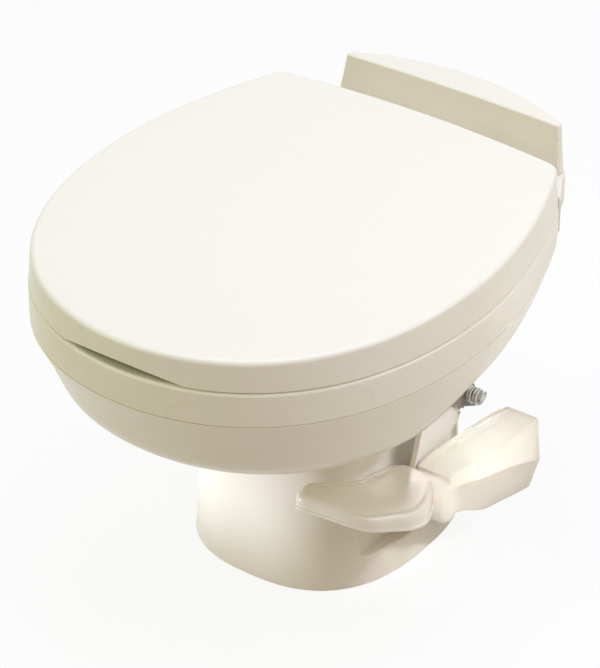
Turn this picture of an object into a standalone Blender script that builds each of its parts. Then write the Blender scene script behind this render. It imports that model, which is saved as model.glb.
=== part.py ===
"""A low RV toilet: lid, seat, bowl, pedestal, foot pedals, flush gears, ball valve and water line.

Metres, +Z up. The front faces -Y, the pedals are on +X, and the origin is on the floor
under the middle of the whole toilet.
"""
import math

import bmesh
import bpy
import numpy as np
from mathutils import Matrix, Vector

# Clearances and overruns
GAP = 0.0003
RUNNING_GAP = 0.0004
OVERRUN = 0.004
ROUND_SIDES = 20
SMALL_SIDES = 12
SMOOTH_ANGLE = math.radians(35)

# Overall heights and depth
FRONT_REACH = 0.4189
REAR_REACH = 0.0869
LID_BACK_Y = (FRONT_REACH - REAR_REACH) / 2
BODY_REAR_Y = LID_BACK_Y + REAR_REACH
RIM_Z = 0.2712
DECK_Z = 0.2985
BODY_BOTTOM_Z = 0.1865

# Lid
LID_HALF_WIDTH = 0.190
LID_BACK_HALF = 0.1432
LID_WIDEST_BACK = 0.187
LID_BACK_BOW = 0.009
LID_CORNER = 0.009
LID_SEAT_GAP = 0.0008
LID_THICK_BACK = 0.0366
LID_THICK_FRONT = 0.0263
LID_WALL = 0.0035
LID_DRAFT = 0.0022
LID_FILLET = 0.005
NOTCH_CHORD = 0.0164
NOTCH_RISE = 0.005
SIDE_PULL_OUT_SHARE = 1.08
SIDE_PULL_FORWARD_SHARE = 0.56
FRONT_PULL_SIDE_SHARE = 0.72
FRONT_PULL_TIP_SHARE = 0.484
OUTLINE_STEPS = 7

# Seat
SEAT_PROUD = 0.003
SEAT_RIM_GAP = 0.0008
SEAT_HEIGHT = 0.0305
SEAT_WALL = 0.003
SEAT_FILLET = 0.004
SEAT_HOLE_HALF_X = 0.108
SEAT_HOLE_HALF_Y = 0.142
SEAT_HOLE_Y = -0.036

# Body shell
SHELL_WALL = 0.004
LEDGE = 0.006
FLANGE_THICK = 0.004
BODY_CORNER_X = 0.1175
BODY_CORNER_BACK = 0.0565
BODY_KNEE_X = 0.1218
BODY_KNEE_BACK = 0.044
BODY_CORNER_ROUND = 0.005
BODY_BOW_POWER = 2.2
BODY_FOOT_SHARE = 0.34
PROFILE_UPPER_SHARE = 0.93
PROFILE_LOWER_SHARE = 0.86
PROFILE_FLAT_SHARE = 0.50
PROFILE_UPPER_DROP_SHARE = 0.512
PROFILE_STEPS = 8
BELLY_DROP = 0.012
BELLY_REAR_Y = 0.010
BELLY_FRONT_Y = -0.080
BELLY_LOW_SHARES = (0.50, 0.62)
BELLY_HIGH_SHARES = (0.90, 0.965)
DECK_SETBACK = 0.0015
DECK_THICK = 0.004
DECK_OVERLAP = 0.002

# Basin
BASIN_HALF_X = 0.113
BASIN_HALF_Y = 0.148
BASIN_WALL = 0.0035
BASIN_SUMP_Z = 0.206
THROAT_R = 0.032
COLLAR_R = 0.050
COLLAR_THICK = 0.004

# The bowl's inside: share of the way out to the rim, and share of the depth
BASIN_SHARES = (
    (1.0, 0.0), (0.985, 0.08), (0.95, 0.35), (0.90, 0.60), (0.78, 0.80),
    (0.46, 0.95), (0.15, 1.0), (0.0, 1.03),
)

# Pedestal
PED_Y = 0.0377
PED_HALF_X = 0.1014
PED_HALF_Y = 0.1173
PED_POWER = 2.54
PED_TOP_IN = 0.0038
PED_FOOT_OUT = 0.0012
PED_FOOT_Z = 0.014
PED_WALL = 0.0035
PED_TOP_THICK = 0.004
PED_STEPS = 36
PED_FLANGE = 0.0135
FLANGE_Z = 0.0035
HOUSING_ROOM = 0.002
POCKET_FRONT_Y = -0.036
POCKET_BACK_Y = 0.108
POCKET_LOW_Z = 0.028
POCKET_HIGH_Z = 0.160
POCKET_X = 0.0815
POCKET_CORNER = 0.006

# Back cover
COVER_HALF_TOP = 0.1104
COVER_HALF_FOOT = 0.1165
COVER_HEIGHT = 0.0451
COVER_TOP_SETBACK = 0.0512
COVER_FOOT_SETBACK = 0.0452
COVER_TOP_Z = DECK_Z + COVER_HEIGHT
COVER_FRONT_TOP_Y = LID_BACK_Y + COVER_TOP_SETBACK
COVER_FRONT_FOOT_Y = LID_BACK_Y + COVER_FOOT_SETBACK
COVER_FRONT_BOW = 0.003
COVER_END_DEPTH = 0.007
COVER_REAR_SETBACK = 0.003
COVER_WALL = 0.003
COVER_FILLET = 0.003
COVER_CROWN = 0.0012
COVER_STEPS = 8
COVER_BOSS_R = 0.0045

# Lid and seat hinge
HINGE_Y = LID_BACK_Y + 0.019
HINGE_Z = 0.3175
KNUCKLE_R = 0.007
PIN_R = 0.003
POST_X = 0.075
POST_HALF = 0.007
KNUCKLE_WIDE = 0.008
SIDE_PLAY = 0.0012
SEAT_ARM_REAR = 0.003
PIN_HEAD_R = 0.005
PIN_HEAD_THICK = 0.002

# Bumpers
BUMPER_R = 0.006
BUMPER_FROM_FRONT = 0.0479
BUMPER_FROM_SIDE = 0.040
BUMPER_FRONT_Y = LID_BACK_Y - FRONT_REACH + BUMPER_FROM_FRONT
BUMPER_SIDE_X = LID_HALF_WIDTH - BUMPER_FROM_SIDE
BUMPER_SIDE_Y = 0.020

# Pedal shaft and hubs
PEDAL_Y = 0.016
PEDAL_Z = 0.078
PEDAL_ROD_R = 0.004
HUB_R = 0.0185
HUB_X = 0.1058
HUB_END_X = 0.137
EAR_R = 0.0105
EAR_X = 0.0825
EAR_WIDE = 0.005
EAR2_X = 0.0945
EAR2_WIDE = 0.004
CLIP_R = 0.0085
CLIP_THICK = 0.0015
CLIP_SPARE = 0.0015
SHAFT_FLANGE_R = 0.0065
SHAFT_FLANGE = 0.002
SHAFT_SPARE = 0.0035
LEAF_HUB_GAP = 0.0015

# Front pedal
LEAF_RISE = math.radians(12.7)
LEAF_NECK_Z = 0.1055
LEAF_TOP = 0.004
LEAF_FILLET = 0.005
LEAF_SKIRT = 0.004
LEAF_TIP_DEEP = 0.017
LEAF_HEEL_DEEP = 0.030
LEAF_REACH = 0.129
LEAF_HALF_SPAN = 0.156
CAM_ARM = 0.022
CAM_TIP_R = 0.004
BAR_FAR = 0.028
BAR_NEAR = 0.0205
BAR_RISE = 0.006
BAR_THICK = 0.014
BAR_END_X = 0.112

# The leaf's plan, as places across and forward of the pedal axis
LEAF_PLAN_SHARES = (
    (0.3942, 0.7674), (0.4263, 0.9225), (0.4936, 1.0), (0.6282, 0.969), (0.8237, 0.9302),
    (0.9038, 0.8605), (0.9551, 0.7364), (1.0, 0.6085), (1.0032, 0.4729), (0.9679, 0.3411),
    (0.8814, 0.1473), (0.8205, 0.0465), (0.8109, 0.0116), (0.6891, 0.0116), (0.5513, 0.0116),
    (0.5513, 0.1500), (0.5513, 0.3000), (0.5641, 0.3700), (0.5150, 0.5271), (0.4350, 0.6512),
)

# Rear pedal
BLOCK_RISE = math.radians(14)
BLOCK_NECK_Z = 0.105
BLOCK_REACH = 0.0925
BLOCK_WIDTH = 0.0692
BLOCK_WALL = 0.004
BLOCK_START = 0.002
BLOCK_END_DROP = 0.030
NECK_DEEP = 0.012
NECK_INSET = 0.003
BLOCK_DEEP = 0.062
BLOCK_SLANT_SHARE = 1.4

# The rear pedal's sections: place along, inner edge, outer edge, crease across and down,
# lower edge across and down; places across start at the hub's inner face
BLOCK_SHARES = (
    (0.0, 0.0261, 0.4596, 0.451, 0.177, 0.3786, 0.694),
    (0.195, 0.0969, 0.6386, 0.7254, 0.213, 0.516, 0.798),
    (0.411, 0.1763, 0.7689, 0.8339, 0.274, 0.6027, 1.021),
    (0.627, 0.2745, 0.8483, 0.8961, 0.359, 0.6748, 1.128),
    (0.822, 0.367, 0.8887, 0.9494, 0.386, 0.7183, 1.185),
    (0.951, 0.4654, 0.9277, 0.9856, 0.331, 0.7833, 1.136),
)
END_SHRINK = 0.95
BLOCK_END_SHARES = (1.02, 0.5448, 0.9621, 0.9747, 0.27, 0.8736, 0.86)

# Gears
GEAR_MODULE = 0.0018
PINION_TEETH = 18
SECTOR_TEETH = 88
SECTOR_SHOWN = 12
SECTOR_LEAD = 2
SECTOR_HUB_R = 0.0155
SECTOR_LEAN = math.radians(20)
TRANSFER_TEETH = 29
PRESSURE = math.radians(20)
ADDENDUM_SHARE = 0.80
DEDENDUM_SHARE = 1.15
BACKLASH = 0.00035
GEAR_WIDE = 0.005
SECTOR_X = 0.1005
MESH_ANGLE = math.radians(39.5)
DRIVE_R = 0.004
DRIVE_OUTER_X = 0.1245
DRIVE_CLIP_R = 0.0052

# Derived gear places
SECTOR_PITCH_R = GEAR_MODULE * SECTOR_TEETH / 2
PINION_PITCH_R = GEAR_MODULE * PINION_TEETH / 2
TRANSFER_PITCH_R = GEAR_MODULE * TRANSFER_TEETH / 2
DRIVE_Y = PEDAL_Y + (SECTOR_PITCH_R + PINION_PITCH_R) * math.cos(MESH_ANGLE)
DRIVE_Z = PEDAL_Z + (SECTOR_PITCH_R + PINION_PITCH_R) * math.sin(MESH_ANGLE)
BALL_Y = PED_Y
BALL_Z = DRIVE_Z - math.sqrt((2 * TRANSFER_PITCH_R) ** 2 - (DRIVE_Y - BALL_Y) ** 2)

# Ball valve and housing
BALL_R = 0.046
BALL_WALL = 0.003
BALL_COVER = math.radians(52)
BALL_END = math.radians(75)
TRUNNION_R = 0.006
TRUNNION_HUB_R = 0.0125
BALL_ROOM = 0.0065
HOUSING_WALL = 0.0055
HOUSING_IN_R = BALL_R + BALL_ROOM
HOUSING_R = HOUSING_IN_R + HOUSING_WALL
HOUSING_TOP_THICK = 0.0042
SEAL_THICK = 0.005
SEAL_R = 0.046
LEDGE_HOLE_R = 0.0405
HOUSING_SIDES = 26
BALL_STEPS = 10
TRUNNION_HUB_X = 0.040
TRUNNION_HUB_ROOM = 0.002
TRUNNION_INSET = 0.002
TRUNNION_GEAR_OUT = 0.009
TRUNNION_HUB_END = HOUSING_IN_R - TRUNNION_HUB_ROOM
TRUNNION_END_X = HOUSING_R - TRUNNION_INSET
TRUNNION_GEAR_END = HOUSING_R + TRUNNION_GEAR_OUT
TRANSFER_GEAR_OUT = 0.0025
DRIVE_SHAFT_OUT = 0.001
TRANSFER_X = HOUSING_R + TRANSFER_GEAR_OUT
DRIVE_INNER_X = HOUSING_R + DRIVE_SHAFT_OUT
HOUSING_DEEP = 0.052
OUTLET_R = 0.047
OUTLET_IN_R = 0.044
OUTLET_FLANGE = 0.0042
OUTLET_LIP_R = 0.050
OUTLET_LIP = 0.0027

# Floor plate and bolts
PLATE_LOW_Z = 0.004
PLATE_THICK = 0.006
PLATE_ROOM = 0.0006
FLOOR_SEAL_R = 0.064
BOLT_R = 0.004
BOLT_TOP_Z = 0.034
BOLT_HEAD_R = 0.009
BOLT_SPREAD = 0.082
NUT_R = 0.0085
NUT_THICK = 0.006

# Drive bracket, bush and springs
BRACKET_X = 0.1063
BRACKET_THICK = 0.003
BRACKET_FOOT = 0.012
BRACKET_DEEP = 0.0875
BRACKET_TALL = 0.108
BRACKET_PAD = 0.003
BRACKET_SHARES = (
    (0.5029, 1.0), (0.5029, 0.5741), (0.5714, 0.5417), (1.0, 0.3657), (0.96, 0.5741), (0.8229, 1.0),
)
BUSH_R = 0.0065
BUSH_LIP_R = 0.0085
BUSH_LIP = 0.0015
COIL_R = 0.0066
COIL_WIRE_R = 0.0011
COIL_TURNS = 4
COIL_PITCH = 0.0030
COIL_X = 0.1109
WATER_COIL_R = 0.0068
WATER_COIL_WIRE_R = 0.0006
WATER_COIL_TURNS = 2.5
WATER_COIL_ROOM = 0.0012
WATER_COIL_PITCH = 0.0017
COIL_POINTS = 9

# Water valve and line
VALVE_X = 0.0868
VALVE_FRONT_Y = 0.040
VALVE_LONG = 0.038
VALVE_HALF_X = 0.0046
VALVE_OUT_X = 0.0955
VALVE_HALF_Z = 0.012
VALVE_Z = 0.056
PLUNGER_R = 0.0025
PLUNGER_HEAD_R = 0.0042
PLUNGER_HEAD_THICK = 0.003
PLUNGER_DEEP = 0.016
PORT_R = 0.004
PORT_REACH = 0.016
PORT_SPREAD = 0.009
HOSE_R = 0.0045
HOSE_ROOM = 0.003
HOSE_STEPS = 3
HOSE_LEAD = 0.006

# Places that the three hoses pass through
INLET_WAY = (
    (0.041, 0.115, 0.056), (0.052, 0.088, 0.043), (0.0575, 0.066, 0.041), (0.0590, 0.055, 0.046),
)
SUPPLY_WAY = (
    (0.0635, 0.075, 0.062), (0.050, 0.098, 0.095), (0.045, 0.112, 0.150), (0.045, 0.112, 0.195),
    (0.049, 0.138, 0.214), (0.056, 0.195, 0.238), (0.0565, 0.226, 0.262),
)
SPRAY_WAY = ((0.042, 0.228, 0.274), (0.030, 0.205, 0.262), (0.012, 0.180, 0.2565), (0.002, 0.160, 0.258))
NIPPLE_X = 0.040
NIPPLE_Z = 0.060
NIPPLE_R = 0.0105
NIPPLE_OUT = 0.020
NIPPLE_STEM_R = 0.0075
NIPPLE_HOLE_DEEP = 0.020
NIPPLE_WALL_IN = 0.001
NIPPLE_DEEP = 0.0215
NIPPLE_BARB = 0.009
NIPPLE_BORE_R = 0.0025
NIPPLE_COLLAR_R = 0.014
NIPPLE_COLLAR = 0.003
NIPPLE_BARB_R = 0.004
BREAKER_X = 0.050
BREAKER_R = 0.0095
BREAKER_Y = 0.231
SPIGOT_APART = 0.0056
BREAKER_TALL = 0.032
BREAKER_CHAMBER_R = 0.0075
BREAKER_FLOOR = 0.010
BREAKER_BORE_R = 0.0015
BREAKER_CAP = 0.003
SPIGOT_R = 0.0035
SPIGOT_LONG = 0.012
FLOAT_THICK = 0.003
NOZZLE_Z = 0.2585
NOZZLE_R = 0.006
NOZZLE_BORE_R = 0.003
NOZZLE_FRONT_Y = 0.1075
NOZZLE_REAR_Y = 0.139
NOZZLE_LIP_R = 0.0082
NOZZLE_LIP_Y = 0.1190
NOZZLE_LIP = 0.0025

# Screws
SCREW_R = 0.002
SCREW_HEAD_R = 0.004
SCREW_HEAD = 0.0025
SCREW_LONG = 0.010
BODY_SCREW_X = 0.068
BODY_SCREW_SPREAD = 0.0675
COVER_SCREW_X = 0.088
GEAR_SCREW_RING = 0.0105
GEAR_SCREW_R = 0.0015
GEAR_SCREW_HEAD_R = 0.0028
GEAR_SCREW_HEAD = 0.0018
GEAR_SCREW_BITE = 0.007


def clear_scene():
    """Remove what the scene holds."""
    for obj in list(bpy.data.objects):
        bpy.data.objects.remove(obj, do_unlink=True)


def material(name, color, roughness, metallic=0.0):
    """A plain material with one colour, roughness and metallic value."""
    mat = bpy.data.materials.get(name) or bpy.data.materials.new(name)
    mat.use_nodes = True
    shader = mat.node_tree.nodes["Principled BSDF"]
    shader.inputs["Base Color"].default_value = (*color, 1.0)
    shader.inputs["Roughness"].default_value = roughness
    shader.inputs["Metallic"].default_value = metallic
    mat.diffuse_color = (*color, 1.0)
    return mat


def mesh_object(name, data, mat):
    """An object from vertices and faces, with its faces turned outwards."""
    verts, faces = data
    mesh = bpy.data.meshes.new(name)
    mesh.from_pydata([tuple(map(float, v)) for v in verts], [], faces)
    work = bmesh.new()
    work.from_mesh(mesh)
    bmesh.ops.recalc_face_normals(work, faces=work.faces)
    work.to_mesh(mesh)
    work.free()
    obj = bpy.data.objects.new(name, mesh)
    bpy.context.scene.collection.objects.link(obj)
    if mat is not None:
        mesh.materials.append(mat)
        mesh.shade_smooth()
        mesh.set_sharp_from_angle(angle=SMOOTH_ANGLE)
    return obj


def joined(pieces):
    """Several closed shapes as one list of vertices and faces."""
    verts = []
    faces = []
    for piece_verts, piece_faces in pieces:
        start = len(verts)
        verts.extend(piece_verts)
        faces.extend([[start + i for i in face] for face in piece_faces])
    return verts, faces


def boolean(target, data, operation):
    """Join a helper shape to a target, or cut it out, or keep what they share."""
    helper = mesh_object(target.name + "_" + operation.lower(), data, None)
    helper.hide_render = True
    helper.display_type = "WIRE"
    modifier = target.modifiers.new(operation.title(), "BOOLEAN")
    modifier.operation = operation
    modifier.solver = "EXACT"
    modifier.object = helper
    return helper


def add(target, *pieces):
    """Join shapes to a target, one after another."""
    for piece in pieces:
        boolean(target, piece, "UNION")


def cut(target, *pieces):
    """Cut shapes that stay clear of each other out of a target."""
    boolean(target, joined(pieces), "DIFFERENCE")


def loft(rings, closed=False):
    """Skin rings of equal count, with end caps, or closed into a loop of rings."""
    count = len(rings[0])
    verts = [point for ring in rings for point in ring]
    faces = []
    spans = len(rings) if closed else len(rings) - 1
    for level in range(spans):
        low = level * count
        high = (level + 1) % len(rings) * count
        for i in range(count):
            j = (i + 1) % count
            faces.append([low + i, low + j, high + j, high + i])
    if not closed:
        faces.append(list(range(count)))
        last = (len(rings) - 1) * count
        faces.append([last + i for i in range(count)])
    return verts, faces


def along(axis, u, v, w):
    """A point with w along an axis and u, v along the next two axes."""
    return {"X": (w, u, v), "Y": (v, w, u), "Z": (u, v, w)}[axis]


def circle(axis, centre, radius, place, sides=ROUND_SIDES, turn=0.0):
    """A ring of points round an axis; centre holds the two places across it."""
    points = []
    for i in range(sides):
        angle = turn + 2 * math.pi * i / sides
        u = centre[0] + radius * math.cos(angle)
        v = centre[1] + radius * math.sin(angle)
        points.append(along(axis, u, v, place))
    return points


def rod(axis, centre, radius, start, end, sides=ROUND_SIDES):
    """A cylinder along an axis."""
    return loft([circle(axis, centre, radius, start, sides), circle(axis, centre, radius, end, sides)])


def turned(axis, centre, profile, sides=ROUND_SIDES, closed=False):
    """A turned shape from radii and places along an axis."""
    return loft([circle(axis, centre, r, w, sides) for r, w in profile], closed)


def tube(axis, centre, inner, outer, start, end, sides=ROUND_SIDES):
    """A ring or pipe along an axis."""
    profile = [(outer, start), (outer, end), (inner, end), (inner, start)]
    return turned(axis, centre, profile, sides, True)


def box(low, high):
    """A box from its lowest and highest corners."""
    corners = [(x, y) for x, y in ((low[0], low[1]), (high[0], low[1]), (high[0], high[1]), (low[0], high[1]))]
    return loft([[(x, y, low[2]) for x, y in corners], [(x, y, high[2]) for x, y in corners]])


def prism(axis, outline, start, end):
    """An outline carried along an axis."""
    return loft([[along(axis, u, v, w) for u, v in outline] for w in (start, end)])


def bezier(p0, p1, p2, p3, steps):
    """Points of a cubic curve, both ends included."""
    t = np.linspace(0.0, 1.0, steps + 1)[:, None]
    a, b, c, d = (np.array(p, float) for p in (p0, p1, p2, p3))
    return (1 - t) ** 3 * a + 3 * (1 - t) ** 2 * t * b + 3 * (1 - t) * t * t * c + t ** 3 * d


def trimmed(points, length):
    """A polyline without its first stretch."""
    points = [np.array(p, float) for p in points]
    while len(points) > 2 and np.linalg.norm(points[1] - points[0]) <= length:
        length -= np.linalg.norm(points[1] - points[0])
        points.pop(0)
    step = points[1] - points[0]
    points[0] = points[0] + step * length / np.linalg.norm(step)
    return points


def closed_outline(side, bow_middle, bow_power, round_by):
    """A plan outline from its right side, back corner first, and a bowed back edge."""
    corner = np.array(side[0], float)
    half = corner[0]
    xs = np.linspace(half, 0.0, OUTLINE_STEPS)
    bow = [(x, corner[1] + (bow_middle - corner[1]) * (1 - (x / half) ** bow_power)) for x in xs]
    side = trimmed(side, round_by)
    bow = trimmed(bow, round_by)
    turn = [(1 - t) ** 2 * bow[0] + 2 * (1 - t) * t * corner + t * t * side[0] for t in (0.25, 0.5, 0.75)]
    right = bow[::-1] + turn + side
    left = [p * (-1, 1) for p in right[-2:0:-1]]
    return np.array(right + left)


def offset(points, distance):
    """A closed outline moved inwards by a distance, or outwards if it is negative."""
    before = np.roll(points, 1, axis=0)
    after = np.roll(points, -1, axis=0)
    first = (points - before) / np.linalg.norm(points - before, axis=1)[:, None]
    second = (after - points) / np.linalg.norm(after - points, axis=1)[:, None]
    middle = first + second
    middle /= np.linalg.norm(middle, axis=1)[:, None]
    lean = np.clip((first * middle).sum(axis=1), 0.6, 1.0)[:, None]
    area = np.sum(points[:, 0] * after[:, 1] - after[:, 0] * points[:, 1])
    inward = np.stack([-middle[:, 1], middle[:, 0]], axis=-1) * math.copysign(1.0, area)
    return points + inward * distance / lean


def level(points, height):
    """Plan points at one height, or at a height that depends on the place."""
    if callable(height):
        return [(x, y, height(x, y)) for x, y in points]
    return [(x, y, height) for x, y in points]


def lid_side():
    """The right side of the lid's plan, from its back corner to its front middle."""
    widest_y = LID_BACK_Y - LID_WIDEST_BACK
    front_y = LID_BACK_Y - FRONT_REACH + SEAT_PROUD
    back = (LID_BACK_HALF, LID_BACK_Y)
    pull_x = LID_BACK_HALF + SIDE_PULL_OUT_SHARE * (LID_HALF_WIDTH - LID_BACK_HALF)
    pull_y = LID_BACK_Y - SIDE_PULL_FORWARD_SHARE * LID_WIDEST_BACK
    widest = (LID_HALF_WIDTH, widest_y)
    front_pull = (LID_HALF_WIDTH, widest_y - FRONT_PULL_SIDE_SHARE * (widest_y - front_y))
    tip_pull = (LID_HALF_WIDTH * FRONT_PULL_TIP_SHARE, front_y)
    rear = bezier(back, (pull_x, pull_y), widest, widest, OUTLINE_STEPS)
    front = bezier(widest, front_pull, tip_pull, (0.0, front_y), OUTLINE_STEPS)
    return list(rear) + list(front[1:])


def lid_outline():
    """The lid's plan outline at its top edge."""
    return closed_outline(lid_side(), LID_BACK_Y + LID_BACK_BOW, 2, LID_CORNER)


def body_outline():
    """The body's plan outline at the rim: the seat's sides carried on to the rear corners."""
    side = [np.array(p) for p in lid_side()]
    wide = [side[0]]
    for i in range(1, len(side)):
        run = side[min(i + 1, len(side) - 1)] - side[i - 1]
        run = run / np.linalg.norm(run)
        wide.append(side[i] + np.array((-run[1], run[0])) * SEAT_PROUD)
    wide[-1][0] = 0.0
    wide[0] = np.array((BODY_KNEE_X, LID_BACK_Y + BODY_KNEE_BACK))
    wide.insert(0, np.array((BODY_CORNER_X, LID_BACK_Y + BODY_CORNER_BACK)))
    return closed_outline(wide, BODY_REAR_Y, BODY_BOW_POWER, BODY_CORNER_ROUND)


def lid_top(x, y):
    """Height of the lid's flat top, which falls gently to the front."""
    share = (LID_BACK_Y - y) / (FRONT_REACH - SEAT_PROUD)
    thick = LID_THICK_BACK + (LID_THICK_FRONT - LID_THICK_BACK) * share
    return lid_bottom_z() + thick


def seat_bottom_z():
    return RIM_Z + SEAT_RIM_GAP


def seat_top_z():
    return seat_bottom_z() + SEAT_HEIGHT


def lid_bottom_z():
    return seat_top_z() + LID_SEAT_GAP


def knuckle(x_start, x_end, bridge):
    """A hinge knuckle round the lid's axis with the bar that carries it."""
    return [rod("X", (HINGE_Y, HINGE_Z), KNUCKLE_R, x_start, x_end, SMALL_SIDES + 4), bridge]


def make_lid(plastic):
    """The lid: a tray with a filleted edge, a cut-back front lip and two knuckles."""
    outline = lid_outline()
    low = lid_bottom_z()

    def near_top(x, y):
        return lid_top(x, y) - LID_FILLET

    def fillet_middle(x, y):
        return lid_top(x, y) - LID_FILLET / 4

    def ceiling(x, y):
        return lid_top(x, y) - LID_WALL

    rings = [
        level(offset(outline, LID_FILLET), lid_top),
        level(offset(outline, LID_FILLET / 4), fillet_middle),
        level(offset(outline, -LID_DRAFT / 4), near_top),
        level(offset(outline, -LID_DRAFT), low),
        level(offset(outline, LID_WALL - LID_DRAFT), low),
        level(offset(outline, LID_WALL), ceiling),
    ]
    lid = mesh_object("lid", loft(rings), plastic)
    front_y = LID_BACK_Y - FRONT_REACH
    chord_y = front_y + NOTCH_CHORD + SEAT_PROUD
    for side in (-1, 1):
        inner = side * (POST_X - POST_HALF - SIDE_PLAY)
        outer = inner - side * KNUCKLE_WIDE
        a, b = min(inner, outer), max(inner, outer)
        bridge = box(
            (a, LID_BACK_Y + OVERRUN / 4, HINGE_Z - KNUCKLE_R),
            (b, HINGE_Y, HINGE_Z + KNUCKLE_R),
        )
        add(lid, *knuckle(a, b, bridge))
    notch = box(
        (-LID_HALF_WIDTH, front_y - OVERRUN, low - OVERRUN),
        (LID_HALF_WIDTH, chord_y, low + NOTCH_RISE),
    )
    span = LID_BACK_HALF
    pin_hole = rod("X", (HINGE_Y, HINGE_Z), PIN_R + GAP, -span, span, SMALL_SIDES)
    cut(lid, notch, pin_hole)
    return lid


def seat_hole_point(x, y, grow=0.0):
    """The point of the seat's opening that lies in the same direction as a plan point."""
    angle = math.atan2(y - SEAT_HOLE_Y, x)
    a = SEAT_HOLE_HALF_X + grow
    b = SEAT_HOLE_HALF_Y + grow
    radius = a * b / math.hypot(b * math.cos(angle), a * math.sin(angle))
    return np.array((radius * math.cos(angle), SEAT_HOLE_Y + radius * math.sin(angle)))


def make_seat(plastic):
    """The seat: a deep ring, open below, with two knuckles behind the lid."""
    outline = offset(lid_outline(), -SEAT_PROUD)
    low = seat_bottom_z()
    top = seat_top_z()

    def hole(grow):
        return np.array([seat_hole_point(x, y, grow) for x, y in outline])

    rings = [
        level(outline, low),
        level(outline, top - SEAT_FILLET),
        level(offset(outline, SEAT_FILLET / 4), top - SEAT_FILLET / 4),
        level(offset(outline, SEAT_FILLET), top),
        level(hole(SEAT_FILLET * 2), top),
        level(hole(SEAT_FILLET / 2), top - SEAT_FILLET / 2),
        level(hole(0.0), top - SEAT_FILLET * 2),
        level(hole(0.0), low),
        level(hole(SEAT_WALL), low),
        level(hole(SEAT_WALL), top - SEAT_WALL),
        level(offset(outline, SEAT_WALL), top - SEAT_WALL),
        level(offset(outline, SEAT_WALL), low),
    ]
    seat = mesh_object("seat", loft(rings, True), plastic)
    for side in (-1, 1):
        inner = side * (POST_X + POST_HALF + SIDE_PLAY)
        outer = inner + side * KNUCKLE_WIDE
        a, b = min(inner, outer), max(inner, outer)
        front = HINGE_Y - KNUCKLE_R - LID_SEAT_GAP
        shelf = box((a, LID_BACK_Y, top - SEAT_WALL), (b, HINGE_Y - SEAT_ARM_REAR, top))
        upright = box((a, front, top - SEAT_WALL), (b, HINGE_Y + SEAT_ARM_REAR, HINGE_Z))
        add(seat, shelf, upright, rod("X", (HINGE_Y, HINGE_Z), KNUCKLE_R, a, b, SMALL_SIDES + 4))
    span = LID_BACK_HALF
    cut(seat, rod("X", (HINGE_Y, HINGE_Z), PIN_R + GAP, -span, span, SMALL_SIDES))
    return seat


def make_hinge(plastic, steel):
    """Two hinge posts on the deck and the pins through lid, post and seat."""
    reach = POST_HALF + SIDE_PLAY + KNUCKLE_WIDE + SIDE_PLAY
    for side, label in ((-1, "left"), (1, "right")):
        middle = side * POST_X
        a, b = middle - POST_HALF, middle + POST_HALF
        foot = DECK_Z + GAP
        post = mesh_object(
            "hinge_post_" + label,
            box((a, HINGE_Y - KNUCKLE_R + PIN_R / 2, foot), (b, HINGE_Y + KNUCKLE_R, HINGE_Z)),
            plastic,
        )
        add(post, rod("X", (HINGE_Y, HINGE_Z), KNUCKLE_R, a, b, SMALL_SIDES + 4))
        cut(post, rod("X", (HINGE_Y, HINGE_Z), PIN_R + GAP, a - OVERRUN, b + OVERRUN, SMALL_SIDES))
        pin_start = middle - reach
        pin_end = middle + reach
        profile = [
            (PIN_HEAD_R, pin_start - PIN_HEAD_THICK),
            (PIN_HEAD_R, pin_start),
            (PIN_R, pin_start),
            (PIN_R, pin_end),
            (PIN_HEAD_R, pin_end),
            (PIN_HEAD_R, pin_end + PIN_HEAD_THICK),
        ]
        mesh_object("hinge_pin_" + label, turned("X", (HINGE_Y, HINGE_Z), profile, SMALL_SIDES), steel)


def make_bumpers(rubber):
    """Rubber feet under the lid and under the seat."""
    places = {"front": (0.0, BUMPER_FRONT_Y)}
    places["left"] = (-BUMPER_SIDE_X, BUMPER_SIDE_Y)
    places["right"] = (BUMPER_SIDE_X, BUMPER_SIDE_Y)
    for label, (x, y) in places.items():
        seat_top = seat_top_z() - SEAT_WALL - GAP
        mesh_object("seat_bumper_" + label, rod("Z", (x, y), BUMPER_R, RIM_Z + GAP, seat_top, SMALL_SIDES), rubber)
        lid_low = seat_top_z() + GAP
        lid_high = lid_top(x, y - BUMPER_R) - LID_WALL - GAP
        mesh_object("lid_bumper_" + label, rod("Z", (x, y), BUMPER_R, lid_low, lid_high, SMALL_SIDES), rubber)


def scaled(points, share):
    """A plan outline drawn in towards the pedestal's middle."""
    centre = np.array((0.0, PED_Y))
    return centre + (points - centre) * share


def bowl_profile():
    """The bowl's outer profile as shares of the rim outline against height."""
    upper = RIM_Z - PROFILE_UPPER_DROP_SHARE * (RIM_Z - BODY_BOTTOM_Z)
    low = BODY_BOTTOM_Z
    curve = bezier(
        (1.0, RIM_Z),
        (PROFILE_UPPER_SHARE, upper),
        (PROFILE_LOWER_SHARE, low),
        (PROFILE_FLAT_SHARE, low),
        PROFILE_STEPS,
    )
    return [(share, z) for share, z in curve] + [(BODY_FOOT_SHARE, low)]


def smooth_share(value, start, end):
    """How far a value has come from a start to an end, eased at both."""
    t = min(max((value - start) / (end - start), 0.0), 1.0)
    return t * t * (3 - 2 * t)


def belly(share, height):
    """The height at a place of the profile, which hangs lower towards the front."""
    rise = smooth_share(share, *BELLY_LOW_SHARES) - smooth_share(share, *BELLY_HIGH_SHARES)

    def at(x, y):
        return height - BELLY_DROP * rise * smooth_share(y, BELLY_REAR_Y, BELLY_FRONT_Y)

    return at


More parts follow.
